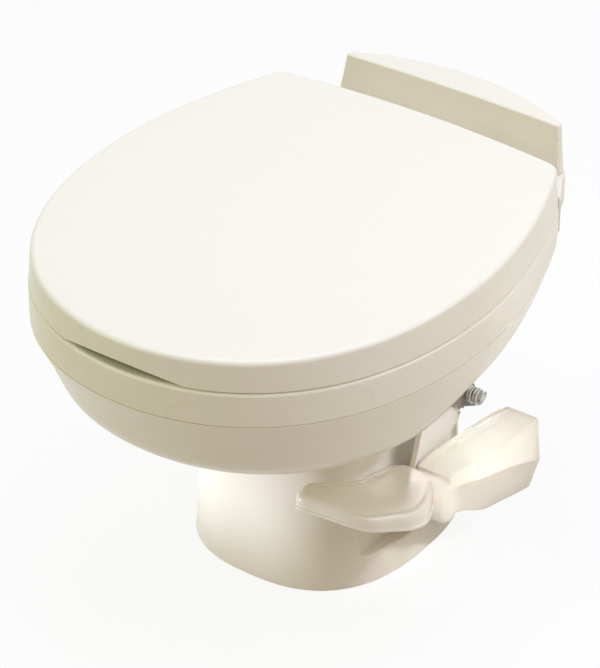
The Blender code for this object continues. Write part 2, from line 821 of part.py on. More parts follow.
def inner_profile(profile, wall):
    """For each place of the profile, how far in and how far up the inner skin lies."""
    reach = FRONT_REACH / 2
    moves = []
    for i in range(len(profile)):
        first = profile[max(i - 1, 0)]
        second = profile[min(i + 1, len(profile) - 1)]
        run = (second[0] - first[0]) * reach
        fall = second[1] - first[1]
        size = math.hypot(run, fall)
        moves.append((wall * abs(fall) / size, wall * abs(run) / size))
    return moves


def clipped_behind(points, limit):
    """The part of a closed plan outline that lies behind a line across."""
    kept = []
    count = len(points)
    for i in range(count):
        a, b = points[i], points[(i + 1) % count]
        if a[1] >= limit:
            kept.append(a)
        if (a[1] - limit) * (b[1] - limit) < 0:
            t = (limit - a[1]) / (b[1] - a[1])
            kept.append(a + (b - a) * t)
    return np.array(kept)


def deck_front_y():
    return LID_BACK_Y + LID_BACK_BOW + SEAT_PROUD + DECK_SETBACK


def screw_places():
    """The four screws between pedestal and bowl."""
    places = {}
    for x, side in ((-BODY_SCREW_X, "left"), (BODY_SCREW_X, "right")):
        for y, end in ((PED_Y - BODY_SCREW_SPREAD, "front"), (PED_Y + BODY_SCREW_SPREAD, "rear")):
            places[end + "_" + side] = (x, y)
    return places


def supply_hole():
    """Where the supply hose goes up through the pedestal's top and the bowl's bottom."""
    return SUPPLY_WAY[2][0], SUPPLY_WAY[2][1]


def make_outer_shell(plastic):
    """The bowl's outer shell with the raised deck at the back."""
    outline = body_outline()
    profile = bowl_profile()
    moves = inner_profile(profile, SHELL_WALL)
    rings = [level(scaled(outline, share), belly(share, z)) for share, z in reversed(profile)]
    shelf = RIM_Z - FLANGE_THICK - GAP
    rings.append(level(offset(outline, SHELL_WALL), RIM_Z))
    rings.append(level(offset(outline, SHELL_WALL), shelf))
    rings.append(level(offset(outline, SHELL_WALL + LEDGE), shelf))
    rings.append(level(offset(outline, SHELL_WALL + LEDGE), shelf - SHELL_WALL))
    for (share, z), (inward, up) in list(zip(profile, moves))[2:-1]:
        rings.append(level(offset(scaled(outline, share), inward), belly(share, z + up)))
    rings.append(level(scaled(outline, BODY_FOOT_SHARE), BODY_BOTTOM_Z + SHELL_WALL))
    shell = mesh_object("outer_shell", loft(rings, True), plastic)
    deck = offset(clipped_behind(outline, deck_front_y()), -GAP / 3)
    inside = offset(deck, SHELL_WALL)
    low = RIM_Z - FLANGE_THICK - DECK_OVERLAP
    deck_rings = [
        level(inside, DECK_Z - DECK_THICK),
        level(inside, low),
        level(offset(deck, DECK_SETBACK), low),
        level(deck, RIM_Z - GAP),
        level(deck, DECK_Z - DECK_SETBACK),
        level(offset(deck, DECK_SETBACK), DECK_Z),
    ]
    add(shell, loft(deck_rings))
    cut_shell_holes(shell)
    return shell


def cut_shell_holes(shell):
    """Holes for the hose, the screws and the breaker's spigots."""
    low = BODY_BOTTOM_Z - OVERRUN
    high = BODY_BOTTOM_Z + SHELL_WALL + OVERRUN
    holes = [rod("Z", supply_hole(), HOSE_R + HOSE_ROOM, low, high, SMALL_SIDES)]
    for place in screw_places().values():
        holes.append(rod("Z", place, SCREW_R + GAP, low, high, SMALL_SIDES))
    deck_low = DECK_Z - DECK_THICK - OVERRUN
    for side in (-1, 1):
        spigot = (BREAKER_X + side * SPIGOT_APART, BREAKER_Y)
        holes.append(rod("Z", spigot, SPIGOT_R + GAP, deck_low, DECK_Z + OVERRUN, SMALL_SIDES))
        screw = (side * COVER_SCREW_X, cover_screw_y())
        holes.append(rod("Z", screw, SCREW_R + GAP, deck_low, DECK_Z + OVERRUN, SMALL_SIDES))
    cut(shell, *holes)


def oval_point(x, y, half_x, half_y):
    """The point of an oval round the seat's middle in the direction of a plan point."""
    angle = math.atan2(y - SEAT_HOLE_Y, x)
    radius = half_x * half_y / math.hypot(half_y * math.cos(angle), half_x * math.sin(angle))
    return np.array((radius * math.cos(angle), SEAT_HOLE_Y + radius * math.sin(angle)))


def throat_top_z():
    """Where the bowl's bottom ends and its throat ring begins."""
    return RIM_Z - BASIN_SHARES[-1][1] * (RIM_Z - BASIN_SUMP_Z) - BASIN_WALL


def make_throat_ring(plastic):
    """The ring below the bowl, whose collar sits on the valve's seal."""
    sealed = seal_high_z() + GAP
    outer = THROAT_R + BASIN_WALL
    top = throat_top_z() - GAP
    profile = [
        (THROAT_R, sealed),
        (COLLAR_R, sealed),
        (COLLAR_R, sealed + COLLAR_THICK),
        (outer, sealed + COLLAR_THICK),
        (outer, top),
        (THROAT_R, top),
    ]
    mesh_object("throat_ring", turned("Z", (0.0, PED_Y), profile, HOUSING_SIDES, True), plastic)


def make_basin(plastic):
    """The inner bowl: a flange under the seat, and the bowl down to its throat."""
    outline = offset(body_outline(), SHELL_WALL + GAP)
    limit = deck_front_y() - GAP
    flange = np.array([(x, min(y, limit)) for x, y in outline])
    around = []
    for x, y in flange:
        angle = math.atan2(y - SEAT_HOLE_Y, x)
        around.append(np.array((math.cos(angle), PED_Y / THROAT_R + math.sin(angle))) * THROAT_R)
    throat = np.array(around)

    def bowl(share, grow):
        half_x, half_y = BASIN_HALF_X + grow, BASIN_HALF_Y + grow
        oval = np.array([oval_point(x, y, half_x, half_y) for x, y in flange])
        neck = np.array((0.0, PED_Y)) + (throat - (0.0, PED_Y)) * (THROAT_R + grow) / THROAT_R
        return oval * share + neck * (1 - share)

    drop = RIM_Z - BASIN_SUMP_Z
    rings = [level(flange, RIM_Z - FLANGE_THICK), level(flange, RIM_Z)]
    for share, fall in BASIN_SHARES:
        rings.append(level(bowl(share, 0.0), RIM_Z - fall * drop))
    rings.append(level(throat, throat_top_z()))
    for share, fall in reversed(BASIN_SHARES[2:]):
        rings.append(level(bowl(share, BASIN_WALL), RIM_Z - fall * drop - BASIN_WALL))
    rings.append(level(bowl(BASIN_SHARES[1][0], BASIN_WALL), RIM_Z - FLANGE_THICK))
    basin = mesh_object("basin", loft(rings, True), plastic)
    nozzle = rod("Y", (NOZZLE_Z, 0.0), NOZZLE_R + GAP, NOZZLE_FRONT_Y - OVERRUN, NOZZLE_REAR_Y, SMALL_SIDES)
    cut(basin, nozzle)
    return basin


def seal_low_z():
    """Underside of the bowl's seal, just clear of the ball at the throat."""
    return BALL_Z + math.sqrt(BALL_R ** 2 - THROAT_R ** 2) + RUNNING_GAP


def seal_high_z():
    return seal_low_z() + SEAL_THICK


def pedestal_ring(height, inward=0.0):
    """The pedestal's outline at a height, moved inwards."""
    if height < PED_FOOT_Z:
        change = PED_FOOT_OUT * (1 - height / PED_FOOT_Z)
    else:
        change = -PED_TOP_IN * (height - PED_FOOT_Z) / (BODY_BOTTOM_Z - PED_FOOT_Z)
    half_x = PED_HALF_X + change - inward
    half_y = PED_HALF_Y + change - inward
    points = []
    for i in range(PED_STEPS):
        angle = 2 * math.pi * i / PED_STEPS
        c, s = math.cos(angle), math.sin(angle)
        size = (abs(c) ** PED_POWER + abs(s) ** PED_POWER) ** (-1 / PED_POWER)
        points.append((half_x * c * size, PED_Y + half_y * s * size, height))
    return points


def rounded_box(low, high, radius):
    """Outline of a box with clipped corners, from two opposite corners."""
    (u0, v0), (u1, v1) = low, high
    r = radius
    return [
        (u0 + r, v0), (u1 - r, v0), (u1, v0 + r), (u1, v1 - r),
        (u1 - r, v1), (u0 + r, v1), (u0, v1 - r), (u0, v0 + r),
    ]


def make_pedestal(plastic):
    """The hollow pedestal with its foot flange, top plate and the pedal pocket."""
    top = BODY_BOTTOM_Z - GAP
    rings = [pedestal_ring(0.0), pedestal_ring(PED_FOOT_Z), pedestal_ring(top)]
    pedestal = mesh_object("pedestal", loft(rings), plastic)
    hollow = [
        pedestal_ring(-OVERRUN, PED_FLANGE),
        pedestal_ring(FLANGE_Z, PED_FLANGE),
        pedestal_ring(FLANGE_Z, PED_WALL),
        pedestal_ring(PED_FOOT_Z, PED_WALL),
        pedestal_ring(top - PED_TOP_THICK, PED_WALL),
    ]
    inside = mesh_object("pedestal_inside", loft(hollow), None)
    inside.hide_render = True
    inside.display_type = "WIRE"
    liner = box(
        (POCKET_X - PED_WALL, POCKET_FRONT_Y - PED_WALL, POCKET_LOW_Z - PED_WALL),
        (PED_HALF_X + OVERRUN, POCKET_BACK_Y + PED_WALL, POCKET_HIGH_Z + PED_WALL),
    )
    cut(inside, liner)
    modifier = pedestal.modifiers.new("Hollow", "BOOLEAN")
    modifier.operation = "DIFFERENCE"
    modifier.solver = "EXACT"
    modifier.object = inside
    pocket = rounded_box((POCKET_FRONT_Y, POCKET_LOW_Z), (POCKET_BACK_Y, POCKET_HIGH_Z), POCKET_CORNER)
    cut(pedestal, prism("X", pocket, POCKET_X, PED_HALF_X + OVERRUN))
    cut_pedestal_holes(pedestal)
    return pedestal


def cut_pedestal_holes(pedestal):
    """Holes for the housing, screws, hose, ports, pedal shaft, bush and inlet."""
    top = BODY_BOTTOM_Z
    low = top - PED_TOP_THICK - OVERRUN
    high = top + OVERRUN
    holes = [rod("Z", (0.0, PED_Y), HOUSING_R + HOUSING_ROOM, low, high)]
    holes.append(rod("Z", supply_hole(), HOSE_R + HOSE_ROOM, low, high, SMALL_SIDES))
    for place in screw_places().values():
        holes.append(rod("Z", place, SCREW_R + GAP, low, high, SMALL_SIDES))
    start, end = POCKET_X - PED_WALL - OVERRUN, POCKET_X + OVERRUN
    holes.append(rod("X", (PEDAL_Y, PEDAL_Z), PEDAL_ROD_R + GAP, start, end, SMALL_SIDES))
    holes.append(rod("X", (DRIVE_Y, DRIVE_Z), BUSH_R + GAP, start, end, SMALL_SIDES + 4))
    for y in port_places():
        holes.append(rod("X", (y, VALVE_Z), PORT_R + GAP, start, end, SMALL_SIDES))
    rear = PED_Y + PED_HALF_Y
    inlet = rod("Y", (NIPPLE_Z, NIPPLE_X), NIPPLE_STEM_R + GAP, rear - NIPPLE_HOLE_DEEP, rear, SMALL_SIDES)
    holes.append(inlet)
    cut(pedestal, *holes)


def port_places():
    """Where the water valve's two ports lie along the pocket."""
    middle = VALVE_FRONT_Y + VALVE_LONG / 2
    return middle - PORT_SPREAD, middle + PORT_SPREAD


def cover_ring(height, inward=0.0):
    """The back cover's outline at a height: bowed front, bowed rear."""
    share = (height - DECK_Z) / (COVER_TOP_Z - DECK_Z)
    half = COVER_HALF_FOOT + (COVER_HALF_TOP - COVER_HALF_FOOT) * share
    front = COVER_FRONT_FOOT_Y + (COVER_FRONT_TOP_Y - COVER_FRONT_FOOT_Y) * share
    rear_mid = BODY_REAR_Y - COVER_REAR_SETBACK
    rear_end = COVER_FRONT_TOP_Y + COVER_END_DEPTH - (1 - share) * COVER_REAR_SETBACK
    points = []
    for x in np.linspace(-half, half, COVER_STEPS + 1):
        points.append((x, front + COVER_FRONT_BOW * (1 - (x / half) ** 2)))
    for x in np.linspace(half, -half, COVER_STEPS + 1):
        points.append((x, rear_mid - (rear_mid - rear_end) * (x / half) ** 2))
    ring = np.array(points)
    return offset(ring, inward) if inward else ring


def cover_screw_y():
    """Middle of the back cover's depth where its screws are."""
    share = (COVER_SCREW_X / COVER_HALF_TOP) ** 2
    front = COVER_FRONT_TOP_Y + COVER_FRONT_BOW * (1 - share)
    rear_mid = BODY_REAR_Y - COVER_REAR_SETBACK
    rear = rear_mid - (rear_mid - COVER_FRONT_TOP_Y - COVER_END_DEPTH) * share
    return (front + rear) / 2


def make_back_cover(plastic):
    """The raised back cover with two screw bosses inside."""
    foot = DECK_Z + GAP
    shoulder = COVER_TOP_Z - COVER_FILLET
    ceiling = COVER_TOP_Z - COVER_WALL
    rings = [
        level(cover_ring(ceiling, COVER_WALL), ceiling),
        level(cover_ring(foot, COVER_WALL), foot),
        level(cover_ring(foot), foot),
        level(cover_ring(shoulder), shoulder),
        level(cover_ring(COVER_TOP_Z, COVER_FILLET / 4), COVER_TOP_Z - COVER_FILLET / 4),
        level(cover_ring(COVER_TOP_Z, COVER_FILLET), COVER_TOP_Z),
    ]
    cover = mesh_object("back_cover", loft(rings), plastic)
    holes = []
    for side in (-1, 1):
        place = (side * COVER_SCREW_X, cover_screw_y())
        add(cover, rod("Z", place, COVER_BOSS_R, foot, ceiling + COVER_WALL / 2, SMALL_SIDES))
        holes.append(rod("Z", place, SCREW_R + GAP, foot - OVERRUN, foot + SCREW_LONG, SMALL_SIDES))
    cut(cover, *holes)
    return cover


def screw(name, place, head_z, mat):
    """A screw standing upright with its head below."""
    profile = [
        (SCREW_HEAD_R, head_z - SCREW_HEAD),
        (SCREW_HEAD_R, head_z),
        (SCREW_R, head_z),
        (SCREW_R, head_z + SCREW_LONG),
    ]
    return mesh_object(name, turned("Z", place, profile, SMALL_SIDES), mat)


def make_screws(steel):
    """The screws under the pedestal's top plate and under the deck."""
    for label, place in screw_places().items():
        screw("body_screw_" + label, place, BODY_BOTTOM_Z - GAP - PED_TOP_THICK - GAP, steel)
    for side, label in ((-1, "left"), (1, "right")):
        place = (side * COVER_SCREW_X, cover_screw_y())
        screw("cover_screw_" + label, place, DECK_Z - DECK_THICK - GAP, steel)


def make_housing(plastic, rubber):
    """The valve housing under the bowl and the seal above its ledge."""
    low = BALL_Z - HOUSING_DEEP
    ledge = seal_low_z() - GAP
    top = seal_high_z() + GAP + COLLAR_THICK
    profile = [
        (HOUSING_R, low),
        (HOUSING_R, top),
        (HOUSING_IN_R, top),
        (HOUSING_IN_R, ledge),
        (LEDGE_HOLE_R, ledge),
        (LEDGE_HOLE_R, ledge - HOUSING_TOP_THICK),
        (HOUSING_IN_R, ledge - HOUSING_TOP_THICK),
        (HOUSING_IN_R, low),
    ]
    place = (0.0, PED_Y)
    housing = mesh_object("mechanism_housing", turned("Z", place, profile, HOUSING_SIDES, True), plastic)
    hole = TRUNNION_R + RUNNING_GAP
    cut(housing, rod("X", (BALL_Y, BALL_Z), hole, -TRUNNION_END_X - GAP, HOUSING_R + OVERRUN))
    seal = tube("Z", place, THROAT_R, SEAL_R, seal_low_z(), seal_high_z(), HOUSING_SIDES)
    mesh_object("bowl_seal", seal, rubber)


def make_floor_parts(plastic, rubber, brass):
    """Outlet tube, base plate, floor seal, bolts and nuts."""
    place = (0.0, PED_Y)
    top = BALL_Z - HOUSING_DEEP - GAP
    plate_top = PLATE_LOW_Z + PLATE_THICK
    profile = [
        (OUTLET_R, PLATE_LOW_Z),
        (OUTLET_R, plate_top + GAP),
        (OUTLET_LIP_R, plate_top + GAP),
        (OUTLET_LIP_R, plate_top + GAP + OUTLET_LIP),
        (OUTLET_R, plate_top + GAP + OUTLET_LIP),
        (OUTLET_R, top - OUTLET_FLANGE),
        (HOUSING_R, top - OUTLET_FLANGE),
        (HOUSING_R, top),
        (OUTLET_IN_R, top),
        (OUTLET_IN_R, PLATE_LOW_Z),
    ]
    mesh_object("outlet_tube", turned("Z", place, profile, HOUSING_SIDES, True), plastic)
    inset = PED_WALL + PLATE_ROOM
    plan = [(x, y) for x, y, z in pedestal_ring(PED_FOOT_Z, inset)]
    plate = mesh_object("base_plate", prism("Z", plan, PLATE_LOW_Z, plate_top), plastic)
    low, high = PLATE_LOW_Z - OVERRUN, plate_top + OVERRUN
    holes = [rod("Z", place, OUTLET_R + GAP, low, high, HOUSING_SIDES)]
    for side, label in ((-1, "front"), (1, "rear")):
        spot = (0.0, PED_Y + side * BOLT_SPREAD)
        holes.append(rod("Z", spot, BOLT_R + GAP, low, high, SMALL_SIDES))
        profile = [(BOLT_HEAD_R, GAP), (BOLT_HEAD_R, PLATE_LOW_Z - GAP), (BOLT_R, PLATE_LOW_Z - GAP)]
        profile.append((BOLT_R, BOLT_TOP_Z))
        mesh_object("closet_bolt_" + label, turned("Z", spot, profile, SMALL_SIDES), brass)
        nut_low = plate_top + GAP
        nut = mesh_object("closet_nut_" + label, rod("Z", spot, NUT_R, nut_low, nut_low + NUT_THICK, 6), brass)
        cut(nut, rod("Z", spot, BOLT_R + GAP, nut_low - OVERRUN, nut_low + NUT_THICK + OVERRUN, SMALL_SIDES))
    cut(plate, *holes)
    seal = tube("Z", place, OUTLET_R + GAP, FLOOR_SEAL_R, GAP, PLATE_LOW_Z - GAP, HOUSING_SIDES)
    mesh_object("floor_seal", seal, rubber)


def make_pedal_shaft(steel):
    """The pedals' steel rod with a flange inside the pocket wall, and its end clip."""
    place = (PEDAL_Y, PEDAL_Z)
    flange = POCKET_X - PED_WALL - GAP
    profile = [
        (SHAFT_FLANGE_R, flange - SHAFT_FLANGE),
        (SHAFT_FLANGE_R, flange),
        (PEDAL_ROD_R, flange),
        (PEDAL_ROD_R, HUB_END_X + SHAFT_SPARE),
    ]
    mesh_object("pedal_shaft", turned("X", place, profile, SMALL_SIDES), steel)
    start = HUB_END_X + GAP
    clip = tube("X", place, PEDAL_ROD_R + GAP, CLIP_R, start, start + CLIP_THICK, SMALL_SIDES)
    mesh_object("shaft_clip", clip, steel)


def straight_on(before, end, length):
    """The point straight on past the end of a line."""
    run = np.array(end) - np.array(before)
    return tuple(np.array(end) + run * length / np.linalg.norm(run))


def coil(x, place, radius, turns, pitch, foot):
    """Points of a spring round an axis along X, with straight ends pointing away."""
    count = int(turns * COIL_POINTS)
    points = []
    for i in range(count + 1):
        angle = 2 * math.pi * i / COIL_POINTS
        y = place[0] + radius * math.cos(angle)
        z = place[1] + radius * math.sin(angle)
        points.append((x + pitch * i / COIL_POINTS, y, z))
    return [straight_on(points[1], points[0], foot)] + points + [straight_on(points[-2], points[-1], foot)]


def wire(name, points, radius, mat, roundness):
    """A hose or a spring: one round tube along a line of points."""
    curve = bpy.data.curves.new(name, "CURVE")
    curve.dimensions = "3D"
    curve.fill_mode = "FULL"
    curve.use_fill_caps = True
    curve.bevel_depth = radius
    curve.bevel_resolution = roundness
    line = curve.splines.new("POLY")
    line.points.add(len(points) - 1)
    for point, place in zip(line.points, points):
        point.co = (*place, 1.0)
    curve.materials.append(mat)
    obj = bpy.data.objects.new(name, curve)
    bpy.context.scene.collection.objects.link(obj)
    return obj


def flowing(places, steps):
    """A smooth line through places, straight between its first two and last two."""
    places = [np.array(p, float) for p in places]
    runs = [places[1] - places[0]]
    for i in range(2, len(places) - 2):
        runs.append(places[i + 1] - places[i - 1])
    runs.append(places[-1] - places[-2])
    runs = [run / np.linalg.norm(run) for run in runs]
    points = [tuple(places[0])]
    for i in range(1, len(places) - 2):
        start, end = places[i], places[i + 1]
        length = np.linalg.norm(end - start)
        for k in range(steps):
            t = k / steps
            place = (2 * t ** 3 - 3 * t * t + 1) * start + (3 * t * t - 2 * t ** 3) * end
            place = place + (t ** 3 - 2 * t * t + t) * length * runs[i - 1]
            place = place + (t ** 3 - t * t) * length * runs[i]
            points.append(tuple(place))
    points.append(tuple(places[-2]))
    points.append(tuple(places[-1]))
    return points


def least_gap(points, radius, turn_points):
    """Least clear distance between one curl of a spring and the next."""
    places = np.array(points)
    least = OVERRUN
    for i in range(len(places)):
        for j in range(i + turn_points // 2, len(places)):
            least = min(least, float(np.linalg.norm(places[i] - places[j])) - 2 * radius)
    return least


def make_springs(steel):
    """The pedal return coil on the drive shaft and the water pedal's coil on the rod."""
    drive = coil(COIL_X, (DRIVE_Y, DRIVE_Z), COIL_R, COIL_TURNS, COIL_PITCH, 2 * COIL_WIRE_R)
    print("return spring least gap", least_gap(drive, COIL_WIRE_R, COIL_POINTS))
    wire("return_spring", drive, COIL_WIRE_R, steel, 1)
    start = EAR_X + EAR_WIDE + WATER_COIL_ROOM
    place = (PEDAL_Y, PEDAL_Z)
    water = coil(start, place, WATER_COIL_R, WATER_COIL_TURNS, WATER_COIL_PITCH, 2 * WATER_COIL_WIRE_R)
    print("water spring least gap", least_gap(water, WATER_COIL_WIRE_R, COIL_POINTS))
    wire("water_spring", water, WATER_COIL_WIRE_R, steel, 1)


def make_bracket(dark, plastic):
    """The dark bracket that hangs from the bowl, and the bush in the pocket wall."""
    shape = [(PEDAL_Y + a * BRACKET_DEEP, PEDAL_Z + b * BRACKET_TALL) for a, b in BRACKET_SHARES]
    end = BRACKET_X + BRACKET_THICK
    bracket = mesh_object("drive_bracket", prism("X", shape, BRACKET_X, end), dark)
    top = PEDAL_Z + BRACKET_TALL
    foot = box(
        (BRACKET_X, shape[0][0], top - BRACKET_PAD),
        (end + BRACKET_FOOT, shape[-1][0], top),
    )
    add(bracket, foot)
    hole = rod("X", (DRIVE_Y, DRIVE_Z), DRIVE_R + RUNNING_GAP, BRACKET_X - OVERRUN, end + OVERRUN, SMALL_SIDES)
    cut(bracket, hole)
    wall = POCKET_X - PED_WALL
    profile = [
        (BUSH_R, wall - BUSH_LIP),
        (BUSH_R, POCKET_X + GAP),
        (BUSH_LIP_R, POCKET_X + GAP),
        (BUSH_LIP_R, POCKET_X + GAP + BUSH_LIP),
        (DRIVE_R + RUNNING_GAP, POCKET_X + GAP + BUSH_LIP),
        (DRIVE_R + RUNNING_GAP, wall - BUSH_LIP),
    ]
    mesh_object("drive_bush", turned("X", (DRIVE_Y, DRIVE_Z), profile, SMALL_SIDES + 4, True), plastic)


def tooth_half_angle(radius, pitch_r, teeth):
    """Half the angle that a tooth takes up at a radius."""
    base = pitch_r * math.cos(PRESSURE)
    lean = math.acos(min(1.0, base / max(radius, base)))
    pitch_half = math.pi / (2 * teeth) - BACKLASH / (4 * pitch_r)
    return pitch_half + math.tan(PRESSURE) - PRESSURE - (math.tan(lean) - lean)


def tooth_points(teeth, direction):
    """One gear tooth centred on a direction, from its first root to its last."""
    pitch_r = GEAR_MODULE * teeth / 2
    radii = [
        pitch_r - DEDENDUM_SHARE * GEAR_MODULE,
        pitch_r,
        pitch_r + ADDENDUM_SHARE * GEAR_MODULE,
    ]
    halves = [tooth_half_angle(r, pitch_r, teeth) for r in radii]
    rising = [(r, direction - h) for r, h in zip(radii, halves)]
    falling = [(r, direction + h) for r, h in zip(radii[::-1], halves[::-1])]
    return rising + falling


def gear_outline(place, teeth, direction):
    """A full gear with one tooth centred on a direction."""
    points = []
    for i in range(teeth):
        for r, angle in tooth_points(teeth, direction + 2 * math.pi * i / teeth):
            points.append((place[0] + r * math.cos(angle), place[1] + r * math.sin(angle)))
    return points


def make_gear(name, place, teeth, direction, start, bore, mat):
    """A gear wheel with its bore, along X."""
    outline = gear_outline(place, teeth, direction)
    gear = mesh_object(name, prism("X", outline, start, start + GEAR_WIDE), mat)
    if mat is not None:
        cut(gear, rod("X", place, bore, start - OVERRUN, start + GEAR_WIDE + OVERRUN, SMALL_SIDES + 4))
    return gear


def make_sector(mat):
    """The toothed sector beside the rear pedal's hub."""
    place = (PEDAL_Y, PEDAL_Z)
    pitch = 2 * math.pi / SECTOR_TEETH
    points = []
    for i in range(-SECTOR_LEAD, SECTOR_SHOWN - SECTOR_LEAD):
        points.extend(tooth_points(SECTOR_TEETH, MESH_ANGLE + pitch * i))
    first = MESH_ANGLE - pitch * (SECTOR_LEAD + 0.5)
    last = MESH_ANGLE + pitch * (SECTOR_SHOWN - SECTOR_LEAD - 0.5)
    root = SECTOR_PITCH_R - DEDENDUM_SHARE * GEAR_MODULE
    points = [(root, first)] + points + [(root, last)]
    sweep = 2 * math.pi - (last - first) - 2 * SECTOR_LEAN
    for i in range(ROUND_SIDES + 1):
        angle = last + SECTOR_LEAN + sweep * i / ROUND_SIDES
        points.append((SECTOR_HUB_R, angle))
    outline = [(place[0] + r * math.cos(a), place[1] + r * math.sin(a)) for r, a in points]
    sector = mesh_object("sector_gear", prism("X", outline, SECTOR_X, SECTOR_X + GEAR_WIDE), mat)
    low, high = SECTOR_X - OVERRUN, SECTOR_X + GEAR_WIDE + OVERRUN
    holes = [rod("X", place, PEDAL_ROD_R + RUNNING_GAP, low, high, SMALL_SIDES)]
    for spot in gear_screw_places():
        holes.append(rod("X", spot, GEAR_SCREW_R + GAP, SECTOR_X + SCREW_HEAD - OVERRUN / 8, high, SMALL_SIDES))
    cut(sector, *holes)
    sinks = []
    for spot in gear_screw_places():
        sinks.append(rod("X", spot, GEAR_SCREW_HEAD_R + GAP, low, SECTOR_X + SCREW_HEAD, SMALL_SIDES))
    cut(sector, *sinks)
    return sector


def gear_screw_places():
    """The two screws that hold the sector to the rear pedal's hub."""
    places = []
    for side in (-1, 1):
        angle = MESH_ANGLE + side * math.pi / 2
        y = PEDAL_Y + GEAR_SCREW_RING * math.cos(angle)
        places.append((y, PEDAL_Z + GEAR_SCREW_RING * math.sin(angle)))
    return places


def make_gear_screws(steel):
    """The screws through the sector gear."""
    for spot, label in zip(gear_screw_places(), ("lower", "upper")):
        head = SECTOR_X + SCREW_HEAD - GAP
        profile = [
            (GEAR_SCREW_HEAD_R, SECTOR_X + GAP),
            (GEAR_SCREW_HEAD_R, head),
            (GEAR_SCREW_R, head),
            (GEAR_SCREW_R, HUB_X + SCREW_LONG),
        ]
        mesh_object("gear_screw_" + label, turned("X", spot, profile, SMALL_SIDES), steel)


def leaf_top(y):
    """Height of the front pedal's top, which rises to the front."""
    return LEAF_NECK_Z + (PEDAL_Y - y) * math.tan(LEAF_RISE)


def make_water_pedal(plastic):
    """The front pedal: a skirted leaf, its two ears on the rod and the cam arm."""
    plan = np.array([(a * LEAF_HALF_SPAN, PEDAL_Y - b * LEAF_REACH) for a, b in LEAF_PLAN_SHARES])

    def top(x, y):
        return leaf_top(y)

    def edge(x, y):
        return leaf_top(y) - LEAF_FILLET

    def low(x, y):
        share = (PEDAL_Y - y) / LEAF_REACH
        deep = LEAF_HEEL_DEEP + (LEAF_TIP_DEEP - LEAF_HEEL_DEEP) * share
        return leaf_top(y) - deep

    def ceiling(x, y):
        return leaf_top(y) - LEAF_TOP

    rings = [
        level(offset(plan, LEAF_SKIRT), ceiling),
        level(offset(plan, LEAF_SKIRT), low),
        level(plan, low),
        level(plan, edge),
        level(offset(plan, LEAF_FILLET), top),
    ]
    leaf = mesh_object("water_pedal", loft(rings), plastic)
    place = (PEDAL_Y, PEDAL_Z)
    clear = rod("X", place, HUB_R + LEAF_HUB_GAP, EAR_X - OVERRUN, LEAF_HALF_SPAN + OVERRUN)
    cut(leaf, clear)
    bar = box(
        (EAR_X, PEDAL_Y - BAR_FAR, PEDAL_Z + BAR_RISE),
        (BAR_END_X, PEDAL_Y - BAR_NEAR, PEDAL_Z + BAR_RISE + BAR_THICK),
    )
    low_arm = (PEDAL_Y - BAR_FAR, PEDAL_Z - EAR_R / 3)
    arm_shape = [low_arm, (PEDAL_Y, PEDAL_Z - EAR_R), (PEDAL_Y, PEDAL_Z + EAR_R)]
    arm_shape += [(PEDAL_Y - BAR_NEAR, PEDAL_Z + BAR_RISE + BAR_THICK)]
    arm_shape += [(PEDAL_Y - BAR_FAR, PEDAL_Z + BAR_RISE + BAR_THICK)]
    add(leaf, bar)
    for start, wide in ((EAR_X, EAR_WIDE), (EAR2_X, EAR2_WIDE)):
        add(leaf, prism("X", arm_shape, start, start + wide))
        add(leaf, rod("X", place, EAR_R, start, start + wide))
    half = CAM_TIP_R
    cam = box(
        (EAR_X, PEDAL_Y - half, PEDAL_Z - CAM_ARM),
        (EAR_X + EAR_WIDE, PEDAL_Y + half, PEDAL_Z),
    )
    tip = rod("X", (PEDAL_Y, PEDAL_Z - CAM_ARM), CAM_TIP_R, EAR_X, EAR_X + EAR_WIDE)
    add(leaf, cam, tip)
    bore = rod("X", place, PEDAL_ROD_R + RUNNING_GAP, EAR_X - OVERRUN, HUB_X - OVERRUN, SMALL_SIDES)
    cut(leaf, bore)
    return leaf


def block_section(row):
    """One cross-section of the rear pedal: top plate and outer wall."""
    along_share, inner, outer, crease_x, crease, low_x, low = row
    y = PEDAL_Y + BLOCK_START + along_share * BLOCK_REACH
    top = BLOCK_NECK_Z + along_share * BLOCK_REACH * math.tan(BLOCK_RISE)
    wall = BLOCK_WALL
    slant = wall * BLOCK_SLANT_SHARE
    inner, outer, crease_x, low_x = (HUB_X + share * BLOCK_WIDTH for share in (inner, outer, crease_x, low_x))
    points = [
        (inner, top),
        (outer, top),
        (crease_x, top - crease * BLOCK_DEEP),
        (low_x, top - low * BLOCK_DEEP),
        (low_x - wall, top - low * BLOCK_DEEP + wall / 4),
        (crease_x - slant, top - crease * BLOCK_DEEP - wall / 4),
        (outer - slant, top - wall),
        (inner, top - wall),
    ]
    return [(x, y, z) for x, z in points]


def block_end(row, y_shift=0.0, size=1.0):
    """The far end of the rear pedal as a solid section."""
    ring = block_section(row)
    inner, top = ring[0][0], ring[0][2]
    points = [ring[0], ring[1], ring[2], ring[3], (inner, ring[0][1], top - BLOCK_END_DROP)]
    middle = np.mean(points, axis=0)
    moved = [middle + (np.array(point) - middle) * (size, 1.0, size) for point in points]
    return [(x, y + y_shift, z) for x, y, z in moved]


